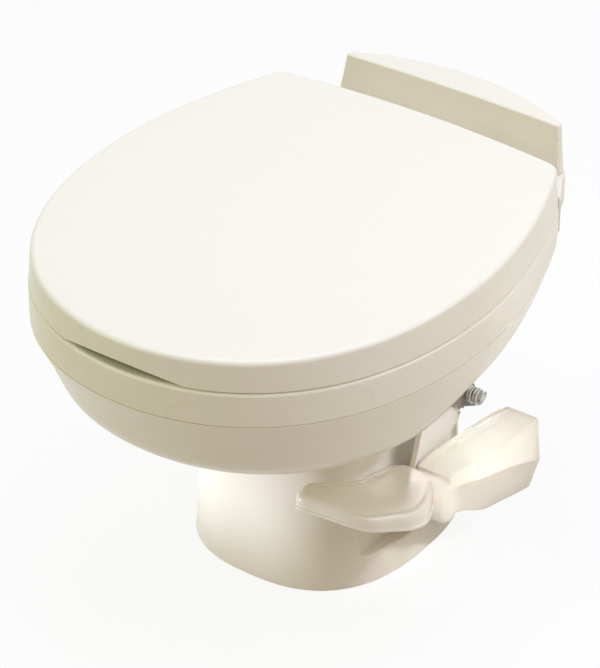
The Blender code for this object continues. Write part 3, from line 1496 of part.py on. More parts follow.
def make_flush_pedal(plastic):
    """The rear pedal: a deep hollow block with its hub on the rod."""
    rings = [block_section(row) for row in BLOCK_SHARES]
    pedal = mesh_object("flush_pedal", loft(rings), plastic)
    last = BLOCK_SHARES[-1]
    end = loft([block_end(last, -BLOCK_WALL, END_SHRINK), block_end(last), block_end(BLOCK_END_SHARES)])
    place = (PEDAL_Y, PEDAL_Z)
    hub = rod("X", place, HUB_R, HUB_X, HUB_END_X, ROUND_SIDES + 4)
    add(pedal, end, hub)
    neck = [
        (PEDAL_Y, PEDAL_Z),
        (PEDAL_Y + NECK_DEEP, PEDAL_Z),
        (PEDAL_Y + NECK_DEEP, BLOCK_NECK_Z - BLOCK_WALL / 4),
        (PEDAL_Y + BLOCK_START + GAP, BLOCK_NECK_Z - BLOCK_WALL / 2),
        (PEDAL_Y, PEDAL_Z + HUB_R - BLOCK_WALL / 4),
    ]
    add(pedal, prism("X", neck, HUB_X + NECK_INSET, HUB_END_X - NECK_INSET))
    profile = [
        (PEDAL_ROD_R + RUNNING_GAP, HUB_X - OVERRUN),
        (PEDAL_ROD_R + RUNNING_GAP, HUB_END_X - GAP),
        (CLIP_R + SIDE_PLAY, HUB_END_X - GAP),
        (CLIP_R + SIDE_PLAY, HUB_END_X + NECK_DEEP),
    ]
    bore = [turned("X", place, profile)]
    for spot in gear_screw_places():
        deep = HUB_X + SCREW_LONG + GAP
        bore.append(rod("X", spot, GEAR_SCREW_R + GAP, HUB_X - OVERRUN, deep, SMALL_SIDES))
    cut(pedal, *bore)
    pedal.modifiers[-1].use_self = True
    return pedal


def make_drive(steel, gear_plastic):
    """Drive shaft, pinion, transfer gear and end clip."""
    place = (DRIVE_Y, DRIVE_Z)
    mesh_object("drive_shaft", rod("X", place, DRIVE_R, DRIVE_INNER_X, DRIVE_OUTER_X, SMALL_SIDES), steel)
    facing = MESH_ANGLE + math.pi + math.pi / PINION_TEETH
    bore = DRIVE_R + GAP
    make_gear("pinion", place, PINION_TEETH, facing, SECTOR_X, bore, gear_plastic)
    toward = math.atan2(BALL_Z - DRIVE_Z, BALL_Y - DRIVE_Y)
    make_gear("transfer_gear", place, TRANSFER_TEETH, toward, TRANSFER_X, bore, gear_plastic)
    ball_facing = toward + math.pi + math.pi / TRANSFER_TEETH
    ball_place = (BALL_Y, BALL_Z)
    bore = TRUNNION_R + GAP
    make_gear("ball_gear", ball_place, TRANSFER_TEETH, ball_facing, TRANSFER_X, bore, gear_plastic)
    clip = DRIVE_OUTER_X - CLIP_THICK - CLIP_SPARE
    ring = tube("X", place, DRIVE_R + GAP, DRIVE_CLIP_R, clip, clip + CLIP_THICK, SMALL_SIDES)
    mesh_object("drive_clip", ring, steel)


def make_ball(plastic):
    """The half-ball that closes the throat, with its trunnions."""
    inner_r = BALL_R - BALL_WALL
    rings = []
    for turn in np.linspace(-BALL_COVER, BALL_COVER, BALL_STEPS + 1):
        ring = []
        for radius, order in ((BALL_R, 1), (inner_r, -1)):
            for beta in np.linspace(-BALL_END, BALL_END, BALL_STEPS + 1)[::order]:
                across = radius * math.cos(beta)
                y = BALL_Y + across * math.sin(turn)
                z = BALL_Z + across * math.cos(turn)
                ring.append((radius * math.sin(beta), y, z))
        rings.append(ring)
    ball = mesh_object("ball_valve", loft(rings), plastic)
    place = (BALL_Y, BALL_Z)
    for side in (-1, 1):
        inner, outer = side * TRUNNION_HUB_X, side * TRUNNION_HUB_END
        tip = TRUNNION_GEAR_END if side > 0 else TRUNNION_END_X
        a, b = min(inner, outer), max(inner, outer)
        add(ball, rod("X", place, TRUNNION_HUB_R, a, b))
        a, b = min(inner, side * tip), max(inner, side * tip)
        add(ball, rod("X", place, TRUNNION_R, a, b))
    return ball


def make_water_valve(plastic, brass):
    """The water valve, its plunger, and the inlet at the back of the pedestal."""
    middle = VALVE_FRONT_Y + VALVE_LONG / 2
    body = mesh_object(
        "water_valve_body",
        box(
            (VALVE_X - VALVE_HALF_X, VALVE_FRONT_Y, VALVE_Z - VALVE_HALF_Z),
            (VALVE_OUT_X, VALVE_FRONT_Y + VALVE_LONG, VALVE_Z + VALVE_HALF_Z),
        ),
        plastic,
    )
    for y in port_places():
        add(body, rod("X", (y, VALVE_Z), PORT_R, VALVE_X - PORT_REACH, VALVE_X, SMALL_SIDES))
    bore = PLUNGER_R + RUNNING_GAP
    place = (VALVE_Z, VALVE_X)
    cut(body, rod("Y", place, bore, VALVE_FRONT_Y - OVERRUN, middle + PORT_SPREAD / 2, SMALL_SIDES))
    front = PEDAL_Y + CAM_TIP_R + GAP
    profile = [
        (PLUNGER_HEAD_R, front),
        (PLUNGER_HEAD_R, front + PLUNGER_HEAD_THICK),
        (PLUNGER_R, front + PLUNGER_HEAD_THICK),
        (PLUNGER_R, VALVE_FRONT_Y + PLUNGER_DEEP),
    ]
    mesh_object("valve_plunger", turned("Y", place, profile, SMALL_SIDES), brass)
    wall_y = PED_Y + PED_HALF_Y
    collar = wall_y - NIPPLE_WALL_IN
    profile = [
        (NIPPLE_BARB_R, collar - NIPPLE_DEEP),
        (NIPPLE_BARB_R, collar - NIPPLE_DEEP + NIPPLE_BARB),
        (NIPPLE_STEM_R, collar - NIPPLE_DEEP + NIPPLE_BARB),
        (NIPPLE_STEM_R, collar),
        (NIPPLE_COLLAR_R, collar),
        (NIPPLE_COLLAR_R, collar + NIPPLE_COLLAR),
        (NIPPLE_R, collar + NIPPLE_COLLAR),
        (NIPPLE_R, collar + NIPPLE_COLLAR + NIPPLE_OUT),
        (NIPPLE_BORE_R, collar + NIPPLE_COLLAR + NIPPLE_OUT),
        (NIPPLE_BORE_R, collar - NIPPLE_DEEP),
    ]
    mesh_object("inlet_nipple", turned("Y", (NIPPLE_Z, NIPPLE_X), profile, SMALL_SIDES + 4, True), brass)


def make_hoses(rubber):
    """The three water hoses."""
    reach = VALVE_X - PORT_REACH - GAP
    first, second = port_places()
    barb = PED_Y + PED_HALF_Y - NIPPLE_WALL_IN - NIPPLE_DEEP - GAP
    start = [(NIPPLE_X, barb, NIPPLE_Z), (NIPPLE_X, barb - HOSE_LEAD, NIPPLE_Z)]
    inlet = start + [*INLET_WAY, (reach - HOSE_LEAD, first, VALVE_Z), (reach, first, VALVE_Z)]
    wire("inlet_hose", flowing(inlet, HOSE_STEPS), HOSE_R, rubber, 2)
    low = DECK_Z + GAP - SPIGOT_LONG - GAP
    x = BREAKER_X + SPIGOT_APART
    top = [(x, BREAKER_Y, low - HOSE_LEAD), (x, BREAKER_Y, low)]
    supply = [(reach, second, VALVE_Z), (reach - HOSE_LEAD, second, VALVE_Z), *SUPPLY_WAY] + top
    wire("supply_hose", flowing(supply, HOSE_STEPS), HOSE_R, rubber, 2)
    x = BREAKER_X - SPIGOT_APART
    start = [(x, BREAKER_Y, low), (x, BREAKER_Y, low - HOSE_LEAD)]
    rear = NOZZLE_REAR_Y + GAP
    spray = start + [*SPRAY_WAY, (0.0, rear + HOSE_LEAD, NOZZLE_Z), (0.0, rear, NOZZLE_Z)]
    wire("nozzle_hose", flowing(spray, HOSE_STEPS), HOSE_R, rubber, 2)


def make_breaker(plastic, rubber):
    """The vacuum breaker under the back cover, its cap and float, and the rim nozzle."""
    foot = DECK_Z + GAP
    place = (BREAKER_X, BREAKER_Y)
    breaker = mesh_object("vacuum_breaker", rod("Z", place, BREAKER_R, foot, foot + BREAKER_TALL), plastic)
    for side in (-1, 1):
        spot = (BREAKER_X + side * SPIGOT_APART, BREAKER_Y)
        add(breaker, rod("Z", spot, SPIGOT_R, foot - SPIGOT_LONG, foot + OVERRUN, SMALL_SIDES))
    chamber = rod("Z", place, BREAKER_CHAMBER_R, foot + BREAKER_FLOOR, foot + BREAKER_TALL + OVERRUN)
    cut(breaker, chamber)
    bores = []
    for side in (-1, 1):
        spot = (BREAKER_X + side * SPIGOT_APART, BREAKER_Y)
        low = foot - SPIGOT_LONG - OVERRUN
        bores.append(rod("Z", spot, BREAKER_BORE_R, low, foot + BREAKER_FLOOR + OVERRUN, SMALL_SIDES))
    cut(breaker, *bores)
    top = foot + BREAKER_TALL + GAP
    mesh_object("breaker_cap", rod("Z", place, BREAKER_R, top, top + BREAKER_CAP), plastic)
    seat_z = foot + BREAKER_FLOOR + GAP
    radius = BREAKER_CHAMBER_R - RUNNING_GAP
    mesh_object("breaker_float", rod("Z", place, radius, seat_z, seat_z + FLOAT_THICK, SMALL_SIDES + 4), rubber)
    profile = [
        (NOZZLE_R, NOZZLE_FRONT_Y),
        (NOZZLE_R, NOZZLE_LIP_Y),
        (NOZZLE_LIP_R, NOZZLE_LIP_Y),
        (NOZZLE_LIP_R, NOZZLE_LIP_Y + NOZZLE_LIP),
        (NOZZLE_R, NOZZLE_LIP_Y + NOZZLE_LIP),
        (NOZZLE_R, NOZZLE_REAR_Y),
        (NOZZLE_BORE_R, NOZZLE_REAR_Y),
        (NOZZLE_BORE_R, NOZZLE_FRONT_Y),
    ]
    mesh_object("rim_nozzle", turned("Y", (NOZZLE_Z, 0.0), profile, SMALL_SIDES + 4, True), plastic)


def set_origins():
    """Put each moving piece's origin on its axis."""
    lid_axis = (0.0, HINGE_Y, HINGE_Z)
    pedal_axis = (0.0, PEDAL_Y, PEDAL_Z)
    drive_axis = (0.0, DRIVE_Y, DRIVE_Z)
    ball_axis = (0.0, BALL_Y, BALL_Z)
    plunger_axis = (VALVE_X, VALVE_FRONT_Y, VALVE_Z)
    float_axis = (BREAKER_X, BREAKER_Y, DECK_Z)
    places = {
        lid_axis: ("lid", "seat", "lid_bumper_front", "lid_bumper_left", "lid_bumper_right",
                   "seat_bumper_front", "seat_bumper_left", "seat_bumper_right"),
        pedal_axis: ("flush_pedal", "sector_gear", "gear_screw_lower", "gear_screw_upper", "water_pedal"),
        drive_axis: ("drive_shaft", "pinion", "transfer_gear", "drive_clip"),
        ball_axis: ("ball_valve", "ball_gear"),
        plunger_axis: ("valve_plunger",),
        float_axis: ("breaker_float",),
    }
    for origin, names in places.items():
        shift = Matrix.Translation(-Vector(origin))
        for name in names:
            obj = bpy.data.objects[name]
            obj.data.transform(shift)
            obj.location = origin


def main():
    clear_scene()
    shell_white = material("shell_plastic", (0.88, 0.85, 0.78), 0.3)
    seat_white = material("seat_plastic", (0.9, 0.87, 0.8), 0.28)
    basin_white = material("basin_plastic", (0.86, 0.84, 0.78), 0.3)
    pedal_white = material("pedal_plastic", (0.87, 0.83, 0.75), 0.32)
    gear_white = material("gear_plastic", (0.8, 0.78, 0.72), 0.5)
    grey = material("valve_plastic", (0.22, 0.22, 0.23), 0.55)
    dark = material("bracket_plastic", (0.06, 0.06, 0.06), 0.5)
    rubber = material("seal_rubber", (0.05, 0.05, 0.05), 0.8)
    foot_rubber = material("bumper_rubber", (0.75, 0.73, 0.68), 0.7)
    steel = material("steel", (0.62, 0.62, 0.63), 0.3, 1.0)
    brass = material("brass", (0.78, 0.6, 0.3), 0.35, 1.0)
    make_outer_shell(shell_white)
    make_basin(basin_white)
    make_throat_ring(basin_white)
    make_pedestal(shell_white)
    make_back_cover(shell_white)
    make_screws(steel)
    make_lid(seat_white)
    make_seat(seat_white)
    make_hinge(seat_white, steel)
    make_bumpers(foot_rubber)
    make_housing(grey, rubber)
    make_floor_parts(grey, rubber, brass)
    make_pedal_shaft(steel)
    make_springs(steel)
    make_bracket(dark, gear_white)
    make_sector(gear_white)
    make_gear_screws(steel)
    make_water_pedal(pedal_white)
    make_flush_pedal(pedal_white)
    make_drive(steel, gear_white)
    make_ball(grey)
    make_water_valve(grey, brass)
    make_hoses(rubber)
    make_breaker(grey, rubber)
    set_origins()


main()
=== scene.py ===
"""The looks of a low RV toilet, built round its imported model.

Metres, +Z up. The front faces -Y, the pedals are on +X and the origin is on the floor.
"""
import math

import bmesh
import bpy
import numpy as np
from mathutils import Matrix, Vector


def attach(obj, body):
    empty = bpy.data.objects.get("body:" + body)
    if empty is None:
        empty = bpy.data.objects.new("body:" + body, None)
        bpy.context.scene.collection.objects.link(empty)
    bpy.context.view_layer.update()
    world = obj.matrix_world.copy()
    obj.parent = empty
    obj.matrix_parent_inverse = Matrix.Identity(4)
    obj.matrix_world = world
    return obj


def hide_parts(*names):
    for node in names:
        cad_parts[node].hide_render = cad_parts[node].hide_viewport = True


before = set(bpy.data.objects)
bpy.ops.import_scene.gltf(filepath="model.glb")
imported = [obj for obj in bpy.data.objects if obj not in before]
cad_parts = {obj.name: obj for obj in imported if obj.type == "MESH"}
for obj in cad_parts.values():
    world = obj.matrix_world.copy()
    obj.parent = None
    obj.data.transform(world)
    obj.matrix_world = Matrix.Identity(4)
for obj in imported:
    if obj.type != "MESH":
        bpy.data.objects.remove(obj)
bpy.context.view_layer.update()

# Fineness of the meshes
CURVE_STEPS = 26
PROFILE_STEPS = 30
FILLET_STEPS = 6
CORNER_STEPS = 8
ROD_END_STEPS = 3
ROUND_SIDES = 48
FINE_SIDES = 96
PEDESTAL_SIDES = 160
SMOOTH_ANGLE = math.radians(32)
FLAT_FACE_WEIGHT = 60

# Small sizes that many pieces share
ROD_EDGE = 0.0005
BOX_EDGE = 0.0006
BORE_EDGE = 0.0002
OVERRUN = 0.002
LEAST_LEAN = 0.6

# Overall heights and depth
FRONT_REACH = 0.4189
REAR_REACH = 0.0869
BACK_Y = (FRONT_REACH - REAR_REACH) / 2
REAR_Y = BACK_Y + REAR_REACH
RIM_Z = 0.2712
DECK_Z = 0.2985
BODY_LOW_Z = 0.1865

# Lid
LID_HALF = 0.190
LID_BACK_HALF = 0.1432
LID_WIDEST_BACK = 0.187
LID_BACK_BOW = 0.009
LID_BOW_POWER = 2
LID_CORNER = 0.009
LID_THICK_BACK = 0.0366
LID_THICK_FRONT = 0.0263
LID_WALL = 0.0035
LID_DRAFT = 0.0022
LID_TOP_OUT = LID_DRAFT / 4
LID_FILLET = 0.0046
LID_FLAT_INSETS = (0.012, 1.25 * LID_FILLET)
LID_LOW_Z = 0.3033
LID_FOOT_EDGE = 0.0006
LID_SIDE_SHARES = (0.3, 0.6)
LID_INNER_ROUND = 1.3
NOTCH_EDGE = ((-0.2345, 0.3033), (-0.2430, 0.3041), (-0.2700, 0.3254))
NOTCH_BELOW = 0.004
LID_SIDE_PULLS = (1.08, 0.56)
LID_FRONT_PULLS = (0.72, 0.484)

# Seat
SEAT_PROUD = 0.003
SEAT_LOW_Z = 0.2716
SEAT_TOP_Z = 0.3025
SEAT_WALL = 0.003
SEAT_FILLET = 0.0034
SEAT_FOOT_EDGE = 0.0004
SEAT_FLAT_INSET = 0.012
SEAT_DISH = 0.0025
SEAT_DISH_SHARES = (0.0, 0.2, 0.4, 0.6, 0.8)
HOLE_HALF_X = 0.108
HOLE_HALF_Y = 0.142
HOLE_Y = -0.036
HOLE_FILLET = 0.007
HOLE_FOOT_EDGE = 0.0005

# Body
SHELL_WALL = 0.004
LEDGE = 0.006
FLANGE = 0.0043
RIM_EDGE = 0.0006
BODY_KNEE = (0.1218, 0.2100)
BODY_CORNER = (0.1175, 0.2225)
BODY_BOW_POWER = 2.2
BODY_ROUND = 0.005
BODY_FOOT_SHARE = 0.34
PROFILE = ((1.0, RIM_Z), (0.93, 0.2278), (0.86, BODY_LOW_Z), (0.50, BODY_LOW_Z))
INNER_PROFILE = slice(8, -1, 3)
INNER_SHARE_LESS = 0.02
BELLY_DROP = 0.012
BELLY_Y = (0.010, -0.080)
BELLY_SHARES = ((0.50, 0.62), (0.90, 0.965))
DECK_FRONT_Y = 0.1795
DECK_THICK = 0.004
DECK_FILLET = 0.0014
DECK_CORNER = 0.0015
DECK_SKIRT = 0.002
DECK_SKIRT_STEP = (0.001, 0.003)

# Basin
BASIN_HALF = (0.113, 0.148)
BASIN_WALL = 0.0035
BASIN_SUMP_Z = 0.206
BASIN_GAP = 0.0003
BASIN_FLANGE = 0.004
BASIN_RIM_OUT = 0.004
BASIN_RIM_ROUND = ((0.0012, 0.0003), (0.0003, 0.0012))
BASIN_STEPS = 5
THROAT_R = 0.032
BASIN_SHARES = (
    (0.985, 0.08), (0.95, 0.35), (0.90, 0.60), (0.78, 0.80), (0.46, 0.95), (0.15, 1.0), (0.0, 1.03),
)

# Pedestal
PED_Y = 0.0377
PED_HALF = (0.1014, 0.1173)
PED_POWER = 2.54
PED_TOP_IN = 0.0038
PED_FOOT_OUT = 0.0012
PED_FOOT_Z = 0.014
PED_FOOT_ROUND = ((0.0, 0.0008), (0.0003, 0.0002), (0.0008, 0.0))
PED_FOOT_RINGS = (0.003, 3)
PED_SIDE_RINGS = (0.03, 10)
PED_WALL = 0.0035
PED_TOP_Z = 0.1862
PED_TOP_PLATE = 0.004
PED_FLANGE = (0.0135, 0.0035)
POCKET_Y = (-0.036, 0.108)
POCKET_Z = (0.028, 0.160)
POCKET_X = 0.0815
POCKET_CORNER = 0.007
POCKET_FLOOR_R = 0.003
POCKET_LIP = 0.0024
POCKET_SIDE_POINTS = 14
HOLE_REACH = 0.01
HOUSING_HOLE_R = 0.060
INLET_Z_X = (0.060, 0.040)
INLET_HOLE_R = 0.0078
INLET_HOLE = (-0.02, 0.004)

# Back cover
COVER_HALF_TOP = 0.1104
COVER_HALF_FOOT = 0.1165
COVER_LOW_Z = 0.2988
COVER_TOP_Z = 0.3436
COVER_TOP_Y = 0.2172
COVER_FOOT_Y = 0.2112
COVER_BOW = 0.003
COVER_END_DEEP = 0.007
COVER_END_LEAN = 0.003
COVER_END_POINTS = 8
COVER_REAR_Y = 0.2499
COVER_WALL = 0.003
COVER_FOOT_IN = 0.0003
COVER_SIDE_SHARES = (0.01, 0.35, 0.7)
COVER_FILLET = 0.0022
COVER_CORNER = 0.0034
COVER_TOP_IN = 0.000001

# Hinge
HINGE = (0.185, 0.3175)
KNUCKLE_R = 0.007
POST_X = 0.075
POST_HALF = 0.007
KNUCKLE_WIDE = 0.008
SIDE_PLAY = 0.0012
PIN_HOLE_R = 0.0033
LID_ARM_GAP = 0.001
SEAT_UPRIGHT_OUT = 0.0008
SEAT_UPRIGHT_PAST = 0.003

# Both pedals
AXIS = (0.016, 0.078)
ROD_HOLE_R = 0.0044
HUB_R = 0.0185

# Front pedal
LEAF_RISE = math.radians(12.7)
LEAF_NECK_Z = 0.1055
LEAF_REACH = 0.129
LEAF_HALF = 0.156
LEAF_SKIRT = 0.004
LEAF_TOP_THICK = 0.004
LEAF_FOOT_EDGE = 0.0008
LEAF_LIP_IN = 0.0001
LEAF_LIP = (0.0007, 0.0030)
LEAF_STEPS = 6
LEAF_DOME_POWER = 3.2
LEAF_DOME_SHARE = 0.8
LEAF_DOME_CROWDING = 1.7
LEAF_DOME_RINGS = 18
LEAF_SPINE_STEPS = 10
LEAF_SPINE_EVENINGS = 6
LEAF_SPINE_SHARES = ((0.52, 0.86), (0.62, 0.72), (0.77, 0.50), (0.75, 0.28), (0.70, 0.12))
LEAF_DEEP = (0.030, 0.017)
LEAF_PLAN_SHARES = (
    (0.3942, 0.7674), (0.4263, 0.9225), (0.4936, 1.0), (0.6282, 0.969), (0.8237, 0.9302),
    (0.9038, 0.8605), (0.9551, 0.7364), (1.0, 0.6085), (1.0032, 0.4729), (0.9679, 0.3411),
    (0.8950, 0.1700), (0.8420, 0.0650), (0.8000, 0.0240), (0.7400, 0.0140), (0.6600, 0.0130),
    (0.6050, 0.0280), (0.5690, 0.0850), (0.5560, 0.1800), (0.5545, 0.3000), (0.5500, 0.4000),
    (0.5100, 0.5371), (0.4400, 0.6512),
)
LEAF_CLEAR_X = 0.078
LEAF_CLEAR_PAST = 0.01
LEAF_CLEAR_EDGE = 0.0001
HUB_CLEARANCE = 0.0012
EAR_X = 0.0825
EARS = ((EAR_X, 0.005), (0.0945, 0.004))
EAR_R = 0.0105
EAR_FRONT = 0.028
EAR_BACK = 0.0205
EAR_LOW = 0.0035
EAR_HIGH = 0.020
BAR_END_X = 0.112
BAR_LOW = 0.006
CAM_END_X = 0.0875
CAM_R = 0.004
CAM_DROP = (0.006, 0.022)
CAM_EDGE = 0.0004

# Rear pedal
HUB_X = (0.1058, 0.137)
HUB_START = ((0.0165, 0.0), (HUB_R, 0.002))
HUB_CAP = ((HUB_R, 0.0025), (0.0180, 0.0042), (0.0168, 0.0054), (0.0148, 0.0060), (0.0005, 0.0061))
HUB_BORE = (0.004, 0.0003)
HUB_RECESS_R = 0.0097
HUB_RECESS = (0.0008, 0.0042)
NECK_LONG = 0.012
NECK_TOP_Z = (0.103, 0.104)
NECK_TOP_IN = 0.0023
NECK_SUNK = 0.001
NECK_SIDE_IN = 0.003
BLOCK_WALL = 0.004
BLOCK_SIDE_WALL = 1.4 * BLOCK_WALL
BLOCK_STEPS = 16
# The rear pedal's sections along its length: place and height of the top, then how far across
# its inner edge, its facet's inner and outer edge are, then across and height of the side's
# crease and of the foot
BLOCK_SECTIONS = (
    (0.0172, 0.1030, 0.1076, 0.1150, 0.1400, 0.1425, 0.0900, 0.1400, 0.0620),
    (0.0250, 0.1068, 0.1095, 0.1180, 0.1435, 0.1475, 0.0940, 0.1420, 0.0620),
    (0.0360, 0.1100, 0.1125, 0.1215, 0.1500, 0.1560, 0.0960, 0.1450, 0.0600),
    (0.0560, 0.1150, 0.1180, 0.1300, 0.1590, 0.1635, 0.0960, 0.1495, 0.0515),
    (0.0760, 0.1198, 0.1248, 0.1385, 0.1645, 0.1680, 0.0935, 0.1540, 0.0500),
    (0.0940, 0.1242, 0.1312, 0.1450, 0.1673, 0.1715, 0.0890, 0.1590, 0.0500),
    (0.1058, 0.1270, 0.1380, 0.1503, 0.1700, 0.1740, 0.0860, 0.1645, 0.0530),
)
BLOCK_END_DEEP = 0.030
# The closed far end: place along the pedal and size
BLOCK_END_RINGS = ((-0.005, 0.96), (0.0, 1.0), (0.0018, 0.985))
SKIN_VOXEL = 0.0007
SKIN_ROUNDS = 6
RIDGE_SHARES = (0.12, 0.45, 1.0)
RIDGE_STEPS = 8
RIDGE_LIFT = 0.0001
RIDGE_WIDE = 0.0011
RIDGE_HIGH = 0.0005
RIDGE_SIDES = 8
RIDGE_END_SIZE = 0.35

# Softened edges of the CAD pieces that stay
WELD_REACH = 0.00001
SOFT_EDGE = 0.00025
SOFT_ANGLE = math.radians(40)
SOFT_SLOTS = {
    "shell_plastic", "seat_plastic", "gear_plastic", "valve_plastic", "bracket_plastic", "brass",
}

# Finishes: slot, colour, its darker patches as a share of it, roughness, scale of the patches,
# scale and depth of the pores, then the metallic value and the coat
PALE = (0.992, 0.99, 0.986)
FINISHES = (
    ("shell_plastic", (0.87, 0.825, 0.695), PALE, 0.26, 14.0, 420.0, 0.00006, 0.0, 0.0),
    ("seat_plastic", (0.88, 0.845, 0.72), PALE, 0.27, 11.0, 420.0, 0.00006, 0.0, 0.0),
    ("basin_plastic", (0.88, 0.845, 0.735), PALE, 0.18, 14.0, 420.0, 0.00005, 0.0, 0.35),
    ("pedal_plastic", (0.87, 0.82, 0.70), PALE, 0.22, 22.0, 520.0, 0.00006, 0.0, 0.3),
    ("gear_plastic", (0.78, 0.72, 0.62), (0.95, 0.94, 0.92), 0.42, 60.0, 900.0, 0.00008, 0.0, 0.0),
    ("valve_plastic", (0.20, 0.20, 0.21), (0.9, 0.9, 0.9), 0.48, 50.0, 1100.0, 0.0001, 0.0, 0.0),
    ("bracket_plastic", (0.30, 0.26, 0.22), (0.85, 0.85, 0.85), 0.45, 60.0, 1100.0, 0.0001, 0.0,
     0.0),
    ("seal_rubber", (0.045, 0.045, 0.047), (0.8, 0.8, 0.8), 0.72, 90.0, 1300.0, 0.00012, 0.0, 0.0),
    ("bumper_rubber", (0.72, 0.70, 0.64), (0.94, 0.94, 0.93), 0.68, 120.0, 1300.0, 0.0001, 0.0,
     0.0),
    ("steel", (0.64, 0.63, 0.61), (0.9, 0.9, 0.9), 0.30, 160.0, 1600.0, 0.00005, 1.0, 0.0),
    ("brass", (0.76, 0.59, 0.31), (0.88, 0.86, 0.82), 0.34, 140.0, 1500.0, 0.00006, 1.0, 0.0),
)
SPECULAR = 0.4
COAT_ROUGHNESS = 0.12
PATCH_DETAIL = 1.0
PORE_DETAIL = 2.0
NOISE_ROUGHNESS = 0.5
TINT_RANGE = (0.1, 0.9)
GLOSS_SPREAD = (0.015, 0.02)
PORE_STRENGTH = 0.25

# Studio
FLOOR_HALF = 6.0
FLOOR_DROP = 0.0005
FLOOR_ROUGHNESS = 0.8
FLOOR_COLOR = (0.56, 0.52, 0.42, 1.0)
FLOOR_SEEN_COLOR = (0.97, 0.97, 0.97, 1.0)
FLOOR_GLOW_SHARE = 0.86
WHITE = (1, 1, 1, 1)
ROOM_COLOR = (1.0, 0.80, 0.70, 1.0)
ROOM_STRENGTH = 0.44
# Lights: name, place, the point they face, size, watts, colour and spread in degrees
LIGHTS = (
    ("top_light", (0.0, 0.1, 2.2), (0.0, 0.0, 0.3),
     (1.8, 1.6), 30.2, (0.615, 0.725, 1.0), 180.0),
    ("front_light", (-1.3, -1.7, 1.5), (0.0, 0.0, 0.28),
     (1.2, 0.9), 11.8, (0.76, 1.0, 0.54), 180.0),
    ("right_light", (1.35, 0.35, 1.15), (0.14, 0.05, 0.12),
     (1.0, 0.8), 8.9, (0.86, 0.95, 1.0), 180.0),
    ("pedal_light", (1.36, 0.05, 1.57), (0.145, 0.045, 0.11),
     (0.08, 0.08), 0.042, (0.92, 0.97, 1.0), 6.0),
    ("low_left_light", (-0.62, -0.50, 0.075), (0.0, 0.03, 0.085),
     (0.34, 0.10), 0.16, (0.70, 0.75, 1.0), 16.0),
)

# Camera, found from the photograph's perspective
CAMERA_TURN = math.radians(35.9006)
CAMERA_RISE = math.radians(32.7233)
CAMERA_TARGET = Vector((0.0137, -0.0241, 0.2216))
CAMERA_AWAY = 3.016
CAMERA_LENS = 194.0
CAMERA_SENSOR = 36.0


# Curves and outlines

def bezier(p0, p1, p2, p3, steps=CURVE_STEPS):
    """Points of a cubic curve, both ends included."""
    t = np.linspace(0.0, 1.0, steps + 1)[:, None]
    a, b, c, d = (np.array(p, float) for p in (p0, p1, p2, p3))
    return (1 - t) ** 3 * a + 3 * (1 - t) ** 2 * t * b + 3 * (1 - t) * t * t * c + t ** 3 * d


def between(a, b, c, d, steps):
    """Points of a smooth curve from b up to c, which has a before it and d after it."""
    points = []
    for k in range(steps):
        t = k / steps
        points.append(0.5 * (2 * b + (c - a) * t + (2 * a - 5 * b + 4 * c - d) * t * t
                             + (3 * b - a - 3 * c + d) * t ** 3))
    return points


def smooth_loop(points, steps):
    """A closed smooth curve through points."""
    points = np.array(points, float)
    count = len(points)
    result = []
    for i in range(count):
        result += between(*(points[(i + k) % count] for k in (-1, 0, 1, 2)), steps)
    return np.array(result)


def smooth_rows(rows, steps):
    """Rows of numbers with smooth rows between them."""
    rows = np.array(rows, float)
    padded = np.vstack([2 * rows[0] - rows[1], rows, 2 * rows[-1] - rows[-2]])
    result = []
    for i in range(1, len(padded) - 2):
        result += between(*padded[i - 1:i + 3], steps)
    result.append(rows[-1])
    return np.array(result)


def trimmed(points, length):
    """A polyline without its first stretch."""
    points = [np.array(p, float) for p in points]
    while len(points) > 2 and np.linalg.norm(points[1] - points[0]) <= length:
        length -= np.linalg.norm(points[1] - points[0])
        points.pop(0)
    step = points[1] - points[0]
    points[0] = points[0] + step * length / np.linalg.norm(step)
    return points


def rounded(runs, radius):
    """A closed outline from open runs, each corner between two runs rounded."""
    points = []
    count = len(runs)
    ends = [trimmed(trimmed(run, radius)[::-1], radius)[::-1] for run in runs]
    for i in range(count):
        a, b = ends[i][-1], ends[(i + 1) % count][0]
        corner = np.array(runs[i][-1], float)
        points.extend(ends[i])
        for t in np.linspace(0, 1, CORNER_STEPS + 1)[1:-1]:
            points.append((1 - t) ** 2 * a + 2 * (1 - t) * t * corner + t * t * b)
    return np.array(points)


def mirrored_outline(side, bow_middle, power, radius):
    """A plan outline from its right side, back corner first, and a bowed back edge."""
    half, back = side[0]
    xs = np.linspace(-half, half, 2 * CURVE_STEPS + 1)
    bow = [(x, back + (bow_middle - back) * (1 - abs(x / half) ** power)) for x in xs]
    left = [(-x, y) for x, y in side[::-1]]
    return rounded([bow, list(map(tuple, side)) + left[1:]], radius)


def offset(points, distance):
    """A closed outline moved inwards by a distance, or outwards if it is negative."""
    before = np.roll(points, 1, axis=0)
    after = np.roll(points, -1, axis=0)
    first = (points - before) / np.linalg.norm(points - before, axis=1)[:, None]
    second = (after - points) / np.linalg.norm(after - points, axis=1)[:, None]
    middle = first + second
    middle /= np.linalg.norm(middle, axis=1)[:, None]
    lean = np.clip((first * middle).sum(axis=1), LEAST_LEAN, 1.0)[:, None]
    area = np.sum(points[:, 0] * after[:, 1] - after[:, 0] * points[:, 1])
    inward = np.stack([-middle[:, 1], middle[:, 0]], axis=-1) * math.copysign(1.0, area)
    return points + inward * distance / lean


def directions(points):
    """The direction of each plan point from the middle of the seat's opening."""
    return [math.atan2(y - HOLE_Y, x) for x, y in points]


